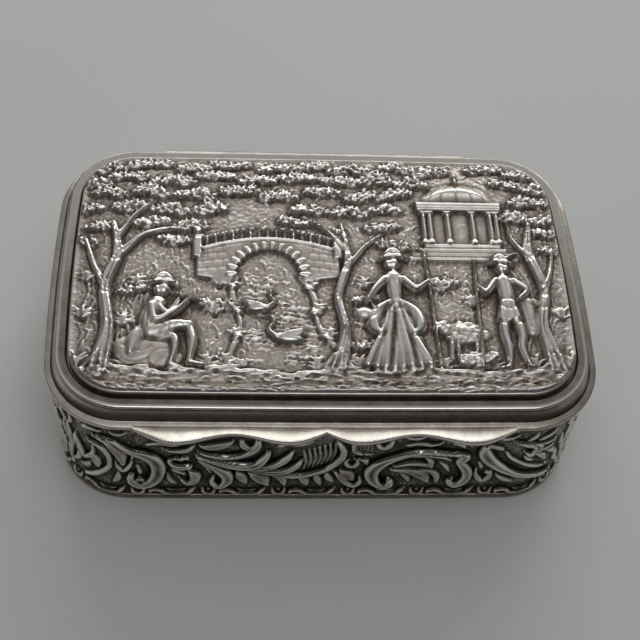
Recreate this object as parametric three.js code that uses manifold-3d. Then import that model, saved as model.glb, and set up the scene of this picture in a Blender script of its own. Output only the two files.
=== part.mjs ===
// Silver table snuff box: a chased case with a gilt lining, and a hinged lid with a raised picture panel.
// Millimetres, +Z up, front towards -Y. The origin is on the table, under the middle of the box.
import * as THREE from "three";
import { mergeVertices } from "three/addons/utils/BufferGeometryUtils.js";
import Module from "manifold-3d";

const wasm = await Module();
wasm.setup();

// Plan: the outer edge of the lid's brim, which every other outline follows at an inset
const brimWidth = 90;
const brimDepth = 57.6;
const cornerRadius = 12.8;
const frontBow = 0.4; // the middle of the front and back stands this far past a straight side
const endBow = 1.2;

// Clearances
const seamGap = 0.1; // solder seam between two pieces
const lidGap = 0.1; // closed lid above the rim that it rests on
const bezelPlay = 0.2; // lid frame around the lining's upstand
const pinPlay = 0.05; // hinge pin in its knuckles
const knuckleGap = 0.15; // between neighbouring knuckles
const jointPlay = 0.12; // knuckles in the joint strips
const seatPlay = 0.1; // joint strips in the seat cut for them

// Case
const footHeight = 1.2;
const footInset = 0.55;
const footWidth = 1.7;
const footRound = 0.35;
const plateThickness = 0.7;
const plateRecess = 0.4; // the bottom plate clears the table by this much
const wallHeight = 21.2;
const wallThickness = 0.75;
const wallInset = 0.7; // at the wall's top and bottom edges
const wallWaist = 0.35; // how far the wall draws in at half its height
const rimThickness = 0.8;
const rimInset = 0.8;
const liningThickness = 0.6;
const bezelHeight = 1.6; // the lining stands this far above the rim

// Lid
const brimThickness = 0.8;
const brimRound = 0.2;
const ledgeWidth = 1.0; // flat part of the brim, outside the cove
const ledgeRise = 0.15;
const coveWidth = 1.35;
const coveHeight = 1.95;
const coveBendOut = 0.5; // where the cove bends, as shares of its width and height
const coveBendUp = 0.28;
const frameInset = 2.9; // inner face of the frame
const shelfThickness = 0.6;
const shelfInset = 4.9; // inner edge of the shelf that carries the panel
const beadInset = 1.85;
const beadWidth = 1.9;
const beadHeight = 0.65;
const beadRound = 0.38;
const panelInset = 4.05;
const panelThickness = 0.6;
const panelSide = 1.2; // upright edge of the panel
const panelShoulder = 0.5; // the edge then rolls over by this much
const panelCrown = 0.9; // the middle of the panel stands this far above the shoulder
const lidLiningThickness = 0.5;

// Picture on the panel, drawn in millimetres from its middle and fitted to the panel's size
const pictureHalfWidth = 40.45;
const pictureHalfDepth = 24.25;
const pictureSink = 0.35; // its ground lies this far below the panel's plain crown
const reliefRoot = 0.5; // a raised form starts this far under that ground
const reliefFineness = 0.02; // finer corners where forms cross are left out
// A rounded form is one slope round a flat: shares of its width at the foot and the top, and of its height
const roundFoot = 1.08;
const roundTop = 0.62;
const roundFlat = 0.9;
const bankHeight = 0.5;
const bankSlope = 0.7;
const bankFront = -25;
const trunkHeight = 1.15;
const boughHeight = 0.9;
const leafHeight = 0.75;
const leafEnd = 2; // leaves beyond the ends of a mass
const leafDepth = 1.6;
const bankCrest = [
  [-41, -20.6], [-33, -20], [-25, -20.9], [-16, -20.2], [-7, -21.2], [2, -20.4], [11, -20.9], [20, -20.2],
  [29, -20.8], [36, -20], [41, -20.6],
];
const streamHead = [-9, -2.4];
const streamFoot = [-6, -19.6];
const streamHalf = 5; // half the width of the stream at its head
const streamSpread = 3.6; // half of what it gains on its way
const streamSway = 0.8;
const streamBends = 8; // radians of sway from head to foot
const streamBankHalf = 0.7;
const streamBankHeight = 0.45;
const trunks = [
  {
    points: [[-35.8, -21], [-34.6, -13], [-35.4, -5], [-33.8, 1.5], [-34.8, 8.5]],
    widths: [1.9, 1.2, 1.1, 0.95, 0.5],
  },
  {
    points: [[1.8, -20.6], [3.2, -13.5], [2.4, -6.5], [4.2, 0.5], [3.4, 8.5]],
    widths: [1.5, 0.95, 0.85, 0.75, 0.42],
  },
  {
    points: [[37, -20.6], [35.4, -12.5], [36.8, -4.5], [35, 3], [35.8, 9.5]],
    widths: [1.8, 1.15, 1.05, 0.9, 0.5],
  },
];
const boughs = [
  { points: [[-35.2, -5.6], [-37.4, -0.5], [-39.3, 5.5]], widths: [0.8, 0.55, 0.28] },
  { points: [[-33.9, 1], [-30.6, 5.2], [-26.8, 7], [-23, 7.4]], widths: [0.8, 0.6, 0.42, 0.2] },
  { points: [[-34.2, 4.8], [-31.4, 10], [-28, 13.4]], widths: [0.6, 0.42, 0.22] },
  { points: [[3.9, -0.8], [7.2, 3.8], [10.6, 6.8]], widths: [0.6, 0.42, 0.22] },
  { points: [[4, 2.8], [1, 7.2], [-2.2, 9.6]], widths: [0.55, 0.4, 0.22] },
  { points: [[36.6, -5.4], [38.4, -0.5], [39.4, 4.5]], widths: [0.7, 0.48, 0.25] },
  { points: [[35, 2], [32.6, 5.8], [32, 10.4]], widths: [0.6, 0.42, 0.22] },
];
// Masses of leaves: place across, place up and half length
const leafClouds = [
  [-36.2, 22, 2.6], [-29.4, 23, 3.4], [-21.6, 22.3, 2.4], [-15.2, 22.9, 3.2], [-7.4, 22.3, 2.8],
  [-1, 23.1, 2.4], [5.8, 22.2, 3.4], [13.4, 22.9, 2.8], [19.8, 22.3, 2], [29.6, 22.7, 2.6],
  [35.8, 21.9, 2.4], [-38.9, 18.4, 1.9], [-33, 19.3, 2.6], [-25.4, 19, 3.2], [-17.6, 19.8, 2.8],
  [-10.8, 18.9, 2.4], [-3.6, 19.7, 3.4], [4, 18.8, 2.6], [10.2, 19.8, 2.4], [16.4, 18.9, 2.2],
  [33, 18.9, 2.2], [38.8, 18.2, 1.9], [-36, 15.6, 2.6], [-29, 16, 2.4], [-21.6, 15.5, 3.2],
  [-13.8, 16.4, 2.4], [-7, 15.6, 2.6], [0.6, 16.2, 2.8], [7.8, 15.4, 2.6], [13.2, 16.2, 1.9],
  [36.6, 14.9, 2.6], [-39.2, 12.2, 1.8], [-32.2, 12.4, 2.6], [-25.6, 12, 2.4], [-18.6, 12.6, 1.9],
  [-2, 12.4, 2.6], [5, 12.2, 2.4], [11.2, 12.6, 2.2], [33.4, 11.8, 1.9], [39.2, 11.4, 1.8],
  [-37.4, 8.6, 1.9], [-28.6, 9.2, 2.4], [-22.2, 8.4, 2], [-4.6, 9.6, 1.8], [10.6, 8.6, 2.4],
  [37.8, 8.2, 1.8], [-39.6, 5.4, 1.6], [-24.8, 5.2, 1.8], [11.8, 5.2, 1.6], [39.6, 5, 1.5],
  [-30.4, -4.8, 1.8], [-17.4, -7.2, 1.6], [6.8, -6.2, 1.5], [33, -6.6, 1.5], [19.6, -3.2, 1.8],
  [6.6, -15.4, 1.5],
];
const bridgeAt = [-9, -2.2]; // middle of the arch's springing
const archRadius = 5.2;
const balusterCount = 15;
const balusterSpan = 10.1; // from the middle to the last one
const bridgeHalf = 12;
const deckCrown = 7.5; // the deck's height above the springing, in the middle
const deckFall = 2.5; // from there to each end
const templeAt = [24, 1.2]; // middle of its lowest step
const domeFoot = 12.6; // above the lowest step
const domeHalf = 6.4;
const domeRise = 5;
const domeSlope = 1.7;
const columnShares = [-1, -0.62, -0.22, 0.22, 0.62, 1];

// Thumb piece: a scalloped lip on the front of the brim, given by its places from the middle outwards
const thumbMiddleReach = 0.42;
const thumbInnerLobeAt = 5.6;
const thumbInnerReach = 2.1;
const thumbHollowAt = 14.5;
const thumbHollowReach = 0.76;
const thumbOuterLobeAt = 23.5;
const thumbOuterReach = 2.2;
const thumbHalfLength = 30;
const thumbDroop = 0.35; // fall for each millimetre of reach

// Hinge
const knuckleCount = 9;
const knuckleLength = 6;
const knuckleRadius = 1.4;
const knuckleChamfer = 0.15;
const pinRadius = 0.6;
const plugRadius = 1.2;
const plugHeight = 0.5;
const plugSpigot = 0.8;
const stripThickness = 0.45;
const hingeDrop = 1.05; // pin axis below the top of the case's rim
const hingeOverhang = 0.2; // pin axis behind the brim's edge
const lidOpening = 105; // degrees: the two joint strips then meet edge to edge
const stripMeeting = 148; // degrees round the pin from the outside, where the strips part inside the box
const stripParting = 4; // degrees between them there

// Facets
const cornerSteps = 8;
const longSteps = 3; // on each half of the front and back
const endSteps = 2; // on each half of an end
const roundSides = 16;
const arcSteps = 5;

// Heights, from the table up
const wallBottom = footHeight + seamGap;
const wallTop = wallBottom + wallHeight;
const rimBottom = wallTop + seamGap;
const rimTop = rimBottom + rimThickness;
const brimBottom = rimTop + lidGap;
const brimTop = brimBottom + brimThickness;
const ledgeTop = brimTop + ledgeRise;
const frameTop = ledgeTop + coveHeight;
const shelfBottom = frameTop - shelfThickness;
const onFrame = frameTop + seamGap;
const plateTop = plateRecess + plateThickness;
const liningBottom = plateTop + seamGap;
const liningTop = rimTop + bezelHeight;

// Insets that follow from those above
const liningInset = frameInset + bezelPlay;
const footInner = footInset + footWidth;
const rimInner = liningInset - seamGap;

// Hinge placing
const pinY = brimDepth / 2 + hingeOverhang;
const pinZ = rimTop - hingeDrop;
const hingeHalf = (knuckleCount * knuckleLength) / 2;
const boreRadius = pinRadius + pinPlay;
const stripInner = knuckleRadius + jointPlay;
const stripOuter = stripInner + stripThickness;
const seatRadius = stripOuter + seatPlay;
const seatHalf = hingeHalf + plugHeight + 2 * seamGap;

const silver = new THREE.MeshStandardMaterial({ color: 0xc9c6c0, roughness: 0.22, metalness: 1 });
const chased = new THREE.MeshStandardMaterial({ color: 0xa9a59d, roughness: 0.35, metalness: 1 });
const gilt = new THREE.MeshStandardMaterial({ color: 0xd8b46a, roughness: 0.25, metalness: 1 });
const steel = new THREE.MeshStandardMaterial({ color: 0x8f9194, roughness: 0.4, metalness: 1 });

// The plan is eight tangent arcs: a shallow one along each side and a tight one round each corner
const halfWidth = brimWidth / 2;
const halfDepth = brimDepth / 2;
const bowRadius = (half, bow) => (half * half + bow * bow) / (2 * bow);
const longRadius = bowRadius(halfWidth, frontBow);
const endRadius = bowRadius(halfDepth, endBow);
const longCentre = new THREE.Vector2(0, halfDepth - longRadius);
const endCentre = new THREE.Vector2(halfWidth - endRadius, 0);
const cornerCentre = circlesMeet(
  longCentre,
  longRadius - cornerRadius,
  endCentre,
  endRadius - cornerRadius,
);
const endAngle = cornerCentre.clone().sub(endCentre).angle();
const longAngle = cornerCentre.clone().sub(longCentre).angle();

// The crossing of two circles that lies furthest out in the +X +Y quarter
function circlesMeet(a, radiusA, b, radiusB) {
  const along = b.clone().sub(a);
  const apart = along.length();
  along.divideScalar(apart);
  const foot = (radiusA ** 2 - radiusB ** 2 + apart ** 2) / (2 * apart);
  const height = Math.sqrt(radiusA ** 2 - foot ** 2);
  const across = new THREE.Vector2(along.y, -along.x);
  if (across.x + across.y < 0) across.negate();
  return a.clone().addScaledVector(along, foot).addScaledVector(across, height);
}

function arcPoints(centre, radius, from, to, steps) {
  return new THREE.EllipseCurve(centre.x, centre.y, radius, radius, from, to).getPoints(steps);
}

// The parallel outline at an inset, anticlockwise: the same arcs about the same centres, with shorter radii
function plan(inset) {
  const quarter = [
    ...arcPoints(endCentre, endRadius - inset, 0, endAngle, endSteps).slice(0, -1),
    ...arcPoints(cornerCentre, cornerRadius - inset, endAngle, longAngle, cornerSteps).slice(0, -1),
    ...arcPoints(longCentre, longRadius - inset, longAngle, Math.PI / 2, longSteps),
  ];
  const mirrored = (points, x, y) => points.map((p) => new THREE.Vector2(p.x * x, p.y * y)).reverse();
  const back = [...quarter, ...mirrored(quarter, -1, 1).slice(1)];
  return [...back, ...mirrored(back, 1, -1).slice(1, -1)];
}

// How far out the front of the brim stands at a place along it
function frontEdge(x) {
  return longCentre.y + Math.sqrt(longRadius ** 2 - x ** 2);
}

function solidOf(geometry) {
  const bare = new THREE.BufferGeometry();
  bare.setAttribute("position", geometry.getAttribute("position"));
  bare.setIndex(geometry.index);
  const merged = mergeVertices(bare, 1e-4);
  return new wasm.Manifold(
    new wasm.Mesh({
      numProp: 3,
      vertProperties: merged.getAttribute("position").array,
      triVerts: new Uint32Array(merged.index.array),
    }),
  );
}

function geometryOf(solid) {
  const { vertProperties, triVerts } = solid.getMesh();
  return new THREE.BufferGeometry()
    .setAttribute("position", new THREE.BufferAttribute(vertProperties, 3))
    .setIndex(new THREE.BufferAttribute(triVerts, 1));
}

// Rows of points, one plan outline for each [inset, height] of a profile
function planRows(profile) {
  return profile.flatMap(([inset, z]) => plan(inset).flatMap((p) => [p.x, p.y, z]));
}

function bandFaces(row, nextRow, count) {
  const faces = [];
  for (let i = 0; i < count; i++) {
    const j = (i + 1) % count;
    faces.push(row + i, row + j, nextRow + j, row + i, nextRow + j, nextRow + i);
  }
  return faces;
}

// A closed band round the box: the profile climbs its outside and comes down its inside
function ringSolid(profile) {
  const count = plan(0).length;
  const faces = profile.flatMap((_, k) =>
    bandFaces(k * count, ((k + 1) % profile.length) * count, count),
  );
  const geometry = new THREE.BufferGeometry();
  geometry.setAttribute("position", new THREE.Float32BufferAttribute(planRows(profile), 3));
  return geometry.setIndex(faces);
}

// A solid block with the box's plan: the profile climbs its outside from the bottom face to the top face
function blockSolid(profile) {
  const count = plan(0).length;
  const last = profile.length - 1;
  const points = planRows(profile);
  const bottomMiddle = points.length / 3;
  const topMiddle = bottomMiddle + 1;
  points.push(0, 0, profile[0][1], 0, 0, profile[last][1]);
  const faces = profile.slice(1).flatMap((_, k) => bandFaces(k * count, (k + 1) * count, count));
  for (let i = 0; i < count; i++) {
    const j = (i + 1) % count;
    faces.push(bottomMiddle, j, i, topMiddle, last * count + i, last * count + j);
  }
  const geometry = new THREE.BufferGeometry();
  geometry.setAttribute("position", new THREE.Float32BufferAttribute(points, 3));
  return geometry.setIndex(faces);
}

// Turns a shape drawn in (outwards, up) about the hinge pin, and pushed out along its depth, to lie along X
function alongHinge(geometry, startX) {
  const turn = new THREE.Matrix4().makeBasis(
    new THREE.Vector3(0, 1, 0),
    new THREE.Vector3(0, 0, 1),
    new THREE.Vector3(1, 0, 0),
  );
  return geometry.applyMatrix4(turn).translate(startX, pinY, pinZ);
}

function boxBetween(low, high) {
  const size = new THREE.Vector3().subVectors(high, low);
  const middle = new THREE.Vector3().addVectors(low, high).multiplyScalar(0.5);
  return new THREE.BoxGeometry(size.x, size.y, size.z).translate(middle.x, middle.y, middle.z);
}

// The round seat that the joint strips lie in
function hingeSeat() {
  const seat = new THREE.CylinderGeometry(seatRadius, seatRadius, 2 * seatHalf, 3 * roundSides);
  return seat.rotateZ(Math.PI / 2).translate(0, pinY, pinZ);
}

function cutAll(geometry, cutters) {
  return geometryOf(cutters.reduce((solid, cutter) => solid.subtract(solidOf(cutter)), solidOf(geometry)));
}

// Case

function footWire() {
  const outer = footInset;
  return ringSolid([
    [outer + footRound, 0],
    [outer, footRound],
    [outer, footHeight - footRound],
    [outer + footRound, footHeight],
    [footInner, footHeight],
    [footInner, 0],
  ]);
}

function bottomPlate() {
  const edge = footInner + seamGap;
  return blockSolid([
    [edge, plateRecess],
    [edge, plateTop],
  ]);
}

function caseWall() {
  const waist = (share) => wallInset + wallWaist * Math.sin(Math.PI * share);
  const shares = Array.from({ length: arcSteps }, (_, k) => k / (arcSteps - 1));
  const outside = shares.map((s) => [waist(s), wallBottom + wallHeight * s]);
  const inside = outside.map(([inset, z]) => [inset + wallThickness, z]).reverse();
  const seatFloor = pinZ - seatRadius * Math.SQRT1_2;
  const notch = boxBetween(
    new THREE.Vector3(-seatHalf, 0, seatFloor),
    new THREE.Vector3(seatHalf, brimDepth, rimTop),
  );
  return cutAll(ringSolid([...outside, ...inside]), [hingeSeat(), notch]);
}

function caseRim() {
  const band = ringSolid([
    [rimInset, rimBottom],
    [rimInset, rimTop],
    [rimInner, rimTop],
    [rimInner, rimBottom],
  ]);
  return cutAll(band, [hingeSeat()]);
}

function caseLining() {
  const tub = blockSolid([
    [liningInset, liningBottom],
    [liningInset, liningTop],
  ]);
  const inside = blockSolid([
    [liningInset + liningThickness, liningBottom + liningThickness],
    [liningInset + liningThickness, liningTop + liningThickness],
  ]);
  return cutAll(tub, [inside]);
}

// Lid

function lidFrame() {
  const coveTop = ledgeWidth + coveWidth;
  const cove = new THREE.QuadraticBezierCurve(
    new THREE.Vector2(ledgeWidth, ledgeTop),
    new THREE.Vector2(ledgeWidth + coveBendOut * coveWidth, ledgeTop + coveBendUp * coveHeight),
    new THREE.Vector2(coveTop, frameTop),
  );
  const band = ringSolid([
    [0, brimBottom],
    [0, brimTop - brimRound],
    [brimRound, brimTop],
    ...cove.getPoints(arcSteps).map((p) => [p.x, p.y]),
    [shelfInset, frameTop],
    [shelfInset, shelfBottom],
    [frameInset, shelfBottom],
    [frameInset, brimBottom],
  ]);
  const notch = boxBetween(
    new THREE.Vector3(-seatHalf, halfDepth - ledgeWidth - seamGap, brimBottom - lidGap),
    new THREE.Vector3(seatHalf, brimDepth, ledgeTop + seamGap),
  );
  return cutAll(band, [hingeSeat(), notch]);
}

// Flat-topped wire on the frame, with rounded upper edges
function lidBead() {
  const beadInner = beadInset + beadWidth;
  const roundZ = onFrame + beadHeight - beadRound;
  const round = arcPoints(new THREE.Vector2(0, 0), beadRound, 0, Math.PI / 2, arcSteps);
  const outer = round.map((p) => [beadInset + beadRound - p.x, roundZ + p.y]);
  const inner = round.map((p) => [beadInner - beadRound + p.x, roundZ + p.y]).reverse();
  return ringSolid([[beadInset, onFrame], ...outer, ...inner, [beadInner, onFrame]]);
}

// How far inside the brim's edge a place is, right up to the corner radius
function insetOf(x, y) {
  const place = new THREE.Vector2(Math.abs(x), Math.abs(y));
  const turn = place.clone().sub(cornerCentre).angle();
  const inCorner = turn > endAngle && turn < longAngle;
  if (inCorner) return cornerRadius - place.distanceTo(cornerCentre);
  return Math.min(longRadius - place.distanceTo(longCentre), endRadius - place.distanceTo(endCentre));
}

const shoulderZ = onFrame + panelSide;
const flatInset = panelInset + panelShoulder;
const crownInset = Math.min(halfDepth, cornerRadius) - panelThickness;
const crownBottom = shoulderZ + panelShoulder;

// Height of the panel at an inset: a rolled shoulder and a low crown, with the ground of the picture sunk in
function panelHeight(inset) {
  const { clamp, smoothstep } = THREE.MathUtils;
  const over = clamp((flatInset - inset) / panelShoulder, 0, 1);
  const share = clamp((inset - flatInset) / (crownInset - flatInset), 0, 1);
  const roll = panelShoulder * Math.sqrt(1 - over ** 2);
  const crown = panelCrown * Math.sin((share * Math.PI) / 2);
  const sink = pictureSink * smoothstep(inset, panelInset, flatInset + panelShoulder);
  return shoulderZ + roll + crown - sink;
}

function vectors(points) {
  return points.map(([x, y]) => new THREE.Vector2(x, y));
}

// A form raised from the picture's ground: it stands on one outline and narrows to another at its height
function mound(foot, top, height) {
  if (THREE.ShapeUtils.isClockWise(foot)) {
    return mound(foot.slice().reverse(), top.slice().reverse(), height);
  }
  const count = foot.length;
  const fitX = (halfWidth - flatInset) / pictureHalfWidth;
  const fitY = (halfDepth - flatInset) / pictureHalfDepth;
  const ring = (outline, rise) =>
    outline.flatMap((p) => {
      const x = p.x * fitX;
      const y = p.y * fitY;
      return [x, y, panelHeight(Math.max(insetOf(x, y), flatInset)) + rise];
    });
  const bottomFaces = THREE.ShapeUtils.triangulateShape(foot, []).flatMap(([a, b, c]) => [a, c, b]);
  const topFaces = THREE.ShapeUtils.triangulateShape(top, []).flat().map((i) => i + count);
  const geometry = new THREE.BufferGeometry();
  const points = [...ring(foot, -reliefRoot), ...ring(top, height)];
  geometry.setAttribute("position", new THREE.Float32BufferAttribute(points, 3));
  return geometry.setIndex([...bandFaces(0, count, count), ...bottomFaces, ...topFaces]);
}

function oval(centre, radii, height, sides = 8) {
  const outline = (share) => {
    const edge = new THREE.EllipseCurve(...centre, radii[0] * share, radii[1] * share);
    return edge.getPoints(sides).slice(0, -1);
  };
  return mound(outline(roundFoot), outline(roundTop), height * roundFlat);
}

// A rounded stroke along points, with a half width at each
function stroke(points, widths, height) {
  const spine = vectors(points);
  const last = spine.length - 1;
  const ways = spine.map((_, i) =>
    spine[Math.min(i + 1, last)].clone().sub(spine[Math.max(i - 1, 0)]).normalize(),
  );
  const outline = (share) => {
    const beside = (i, side) => {
      const across = new THREE.Vector2(-ways[i].y, ways[i].x);
      return spine[i].clone().addScaledVector(across, side * share * widths[i]);
    };
    const start = spine[0].clone().addScaledVector(ways[0], -share * widths[0]);
    const end = spine[last].clone().addScaledVector(ways[last], share * widths[last]);
    const right = spine.map((_, i) => beside(i, -1));
    const left = spine.map((_, i) => beside(i, 1)).reverse();
    return [start, ...right, end, ...left];
  };
  return mound(outline(roundFoot), outline(roundTop), height * roundFlat);
}

// A flat with upright sides
function plate(corners, height) {
  const outline = vectors(corners);
  return mound(outline, outline, height);
}

function bar(half, low, high) {
  return [[-half, low], [half, low], [half, high], [-half, high]];
}

// Places drawn about a motif's own origin, sized, mirrored for way -1, and moved to where it stands
function placed(at, size = 1, way = 1) {
  return (points) => points.map(([x, y]) => [at[0] + way * size * x, at[1] + size * y]);
}

// The ground along the foot of the picture: it rises from its crest and runs on to the front
function bank() {
  const reach = bankCrest.at(-1)[0];
  const front = [[reach, bankFront], [-reach, bankFront]];
  const outline = (drop) => vectors([...bankCrest.map(([x, y]) => [x, y - drop]), ...front]);
  return mound(outline(0), outline(bankSlope), bankHeight);
}

// Low banks of the stream that runs out under the bridge
function streamBanks() {
  const { lerp } = THREE.MathUtils;
  const steps = 6;
  const shares = Array.from({ length: steps + 1 }, (_, k) => k / steps);
  const spine = (side) =>
    shares.map((share) => {
      const half = streamHalf + streamSpread * share + streamSway * Math.sin(streamBends * share);
      const x = lerp(streamHead[0], streamFoot[0], share) + side * half;
      return [x, lerp(streamHead[1], streamFoot[1], share)];
    });
  const widths = shares.map(() => streamBankHalf);
  return [-1, 1].map((side) => stroke(spine(side), widths, streamBankHeight));
}

function bridge() {
  const put = placed(bridgeAt);
  const archSteps = 8;
  const ring = (radius) =>
    arcPoints(new THREE.Vector2(0, 0), radius, 0, Math.PI, archSteps).map((p) => [p.x, p.y]);
  const deckAt = (x) => deckCrown - deckFall * (x / bridgeHalf) ** 2;
  const deck = [1, 0.5, 0, -0.5, -1].map((share) => [share * bridgeHalf, deckAt(share * bridgeHalf)]);
  const rightFoot = [[5.9, -1.6], [bridgeHalf, -0.6]];
  const leftFoot = [[-bridgeHalf, -0.6], [-5.9, -1.6]];
  const body = [...rightFoot, ...deck, ...leftFoot, ...ring(archRadius).reverse()];
  const along = (lift, halfWidth, height) =>
    stroke(put(deck.map(([x, y]) => [x, y + lift])), deck.map(() => halfWidth), height);
  const balusters = Array.from({ length: balusterCount }, (_, k) => {
    const x = balusterSpan * ((2 * k) / (balusterCount - 1) - 1);
    const y = deckAt(x);
    return stroke(put([[x, y + 0.5], [x, y + 1.9]]), [0.34, 0.34], 0.75);
  });
  const post = (x) => {
    const course = (half, low, high) => put(bar(half, low, high).map(([u, v]) => [x + u, v]));
    return [
      plate(course(0.9, 3.2, 7.8), 0.95),
      plate(course(1.2, 7.6, 8.3), 1.1),
      oval(put([[x, 9.1]])[0], [0.85, 0.85], 1.1),
    ];
  };
  return [
    plate(put(body), 0.6),
    stroke(put(ring(archRadius + 0.7)), Array(archSteps + 1).fill(0.8), 0.85),
    along(0, 0.5, 1),
    ...balusters,
    along(2.2, 0.4, 1),
    ...post(-11.7),
    ...post(11.7),
  ];
}

// Round garden temple: steps, a ring of columns before a wall, two courses above them and a dome
function temple() {
  const put = placed(templeAt);
  const steps = [0, 1, 2, 3].map((k) => {
    const step = bar(9.4 - 0.9 * k, 0.85 * k, 0.85 * k + 0.95);
    return plate(put(step), 0.45 + 0.12 * k);
  });
  const columns = columnShares.map((share) => {
    const x = domeHalf * Math.sin((share * Math.PI) / 2);
    return stroke(put([[x, 3.9], [x, 10.3]]), [0.72, 0.68], 1.05);
  });
  const arch = arcPoints(new THREE.Vector2(0, 0), 1, 0, Math.PI, 8);
  const dome = (inset) => {
    const across = domeHalf - inset;
    const up = domeRise - 2 * inset;
    return vectors(put(arch.map((p) => [across * p.x, domeFoot + inset + up * p.y])));
  };
  return [
    ...steps,
    plate(put(bar(6.2, 3.2, 10.9)), 0.2),
    ...columns,
    plate(put(bar(7.6, 10.7, 12.2)), 0.85),
    plate(put(bar(8.2, 12, domeFoot + 0.1)), 1.05),
    mound(dome(0), dome(domeSlope), 0.95),
    oval(put([[0, 18.4]])[0], [0.6, 1.3], 1),
  ];
}

// Strokes of a figure: each its points, its half widths and its height
function limbs(put, size, rows) {
  return rows.map(([points, widths, height]) => stroke(put(points), widths.map((w) => w * size), height));
}

// Head in a brimmed hat, placed by the middle of the head
function head(put, size, [x, y]) {
  return [
    oval(put([[x - 0.15, y]])[0], [1.15 * size, 1.25 * size], 1.45),
    ...limbs(put, size, [
      [[[x - 1, y + 1.55], [x, y + 2.1], [x + 1, y + 1.55]], [0.45, 0.72, 0.4], 1.5],
      [[[x - 1.9, y + 0.75], [x, y + 1.2], [x + 1.9, y + 0.75]], [0.3, 0.52, 0.3], 1.65],
    ]),
  ];
}

// Seated figure with a flute, on a rock
function piper() {
  const size = 1.25;
  const put = placed([-25.2, -20.6], size);
  return [
    oval(put([[-2.4, 2.5]])[0], [4.3 * size, 2.6 * size], 0.8),
    ...limbs(put, size, [
      [[[-2.6, 6.2], [-3.9, 4.4], [-4.4, 2.2]], [1, 1.1, 0.5], 1],
      [[[-1.2, 4.9], [0.8, 4.6], [1.1, 2.6], [0.6, 0.5], [1.9, 0.1]], [1, 0.8, 0.55, 0.42, 0.35], 1],
      [[[-1.6, 5.4], [0.8, 6.3], [2.8, 6.4]], [1.25, 1.05, 0.8], 1.35],
      [[[2.8, 6.2], [3.3, 3.8], [3, 0.9], [4.6, 0.4]], [0.75, 0.7, 0.45, 0.35], 1.25],
      [[[-2, 5.4], [-2.2, 7.6], [-1.3, 9.8]], [1.35, 1.45, 1.25], 1.4],
      [[[-1.4, 9.4], [0.1, 8.1], [1.4, 10.2]], [0.72, 0.6, 0.36], 1.45],
      [[[-2.1, 9.3], [-1.4, 7.1], [1.1, 8.4], [2.6, 10.1]], [0.76, 0.7, 0.52, 0.34], 1.6],
      [[[0.4, 11.5], [4.4, 10.1]], [0.26, 0.26], 1.35],
    ]),
    ...head(put, size, [-0.6, 12]),
  ];
}

// Standing figure in a full skirt, with a crook and a basket
function shepherdess() {
  const size = 1.22;
  const put = placed([11.6, -20.6], size);
  const hem = [[-4.7, 0.5], [-2.4, -0.5], [2, -0.5], [4.5, 0.5]];
  const gown = [[-0.9, 10.4], [-3.2, 5.6], ...hem, [3.4, 5.6], [1.1, 10.4]];
  const skirt = (share) => vectors(put(gown.map(([x, y]) => [x * share, 5 + (y - 5) * share])));
  const puff = (side) => [[0.9, 10.5], [2.4, 9], [3, 6.8], [2.2, 5.2]].map(([x, y]) => [x * side, y]);
  return [
    mound(skirt(1.02), skirt(0.9), 1.1),
    oval(put([[-4.2, 8.7]])[0], [1.5 * size, 1.15 * size], 1.15),
    ...limbs(put, size, [
      [puff(-1), [0.4, 1, 1.15, 0.4], 1.35],
      [puff(1), [0.4, 1, 1.15, 0.4], 1.35],
      [[[0.1, 10.2], [0, 12.4], [0, 15.6]], [0.95, 1.2, 1.1], 1.45],
      [[[-1.2, 14.3], [-2.6, 12.6], [-3.8, 10.6]], [0.74, 0.62, 0.36], 1.45],
      [[[1.3, 14.3], [3, 12.8], [4.7, 14]], [0.74, 0.6, 0.36], 1.45],
      [[[5.4, 0], [4.9, 12.6], [4.5, 19.4]], [0.28, 0.28, 0.28], 1.05],
    ]),
    ...head(put, size, [0.15, 17]),
  ];
}

// Standing figure in a short coat, leaning on a staff
function youth() {
  const size = 1.08;
  const put = placed([30.2, -20.4], size, -1);
  const tails = [[2.4, 8.2], [0.2, 7.6], [-2.2, 8.4], [-1.4, 12.6], [1.5, 12.6]];
  const coat = (share) => vectors(put(tails.map(([x, y]) => [x * share, 10.2 + (y - 10.2) * share])));
  const legWidths = [1.1, 0.86, 0.73, 0.42, 0.35];
  return [
    ...limbs(put, size, [
      [[[-1, 16.2], [-2.8, 12], [-3.2, 6.8]], [0.6, 1.2, 1.1], 0.75],
      [[[-0.4, 10.6], [-1.5, 6.2], [-1.2, 3.4], [-2, 0.5], [-3.3, 0.2]], legWidths, 1.1],
      [[[0.6, 10.6], [1.1, 6.4], [0.8, 3.4], [1, 0.4], [2.4, 0]], legWidths, 1.25],
    ]),
    mound(coat(1), coat(0.8), 1.3),
    ...limbs(put, size, [
      [[[0, 11.8], [0.1, 14], [0.25, 16.6]], [1.35, 1.5, 1.3], 1.5],
      [[[-1.3, 15.8], [-3.1, 14], [-1.7, 12.4]], [0.76, 0.64, 0.4], 1.45],
      [[[1.5, 15.8], [3.2, 13.6], [4.4, 14.8]], [0.76, 0.62, 0.36], 1.6],
      [[[5, 0], [4.6, 12], [4.3, 20]], [0.28, 0.28, 0.28], 1.15],
    ]),
    ...head(put, size, [0.35, 18.4]),
  ];
}

// Sheep, placed by the middle of the body
function sheep(at, size, way, standing) {
  const put = placed(at, size, way);
  const legs = standing ? [-1.9, -1.2, 1.1, 1.9] : [];
  return [
    ...legs.map((x) => stroke(put([[x, -0.8], [x, -3.7]]), [0.45 * size, 0.32 * size], 0.85)),
    oval(at, [3.1 * size, 1.9 * size], 1.15),
    oval(put([[2.9, 0.8]])[0], [1.5 * size, size], 1.3),
  ];
}

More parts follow.
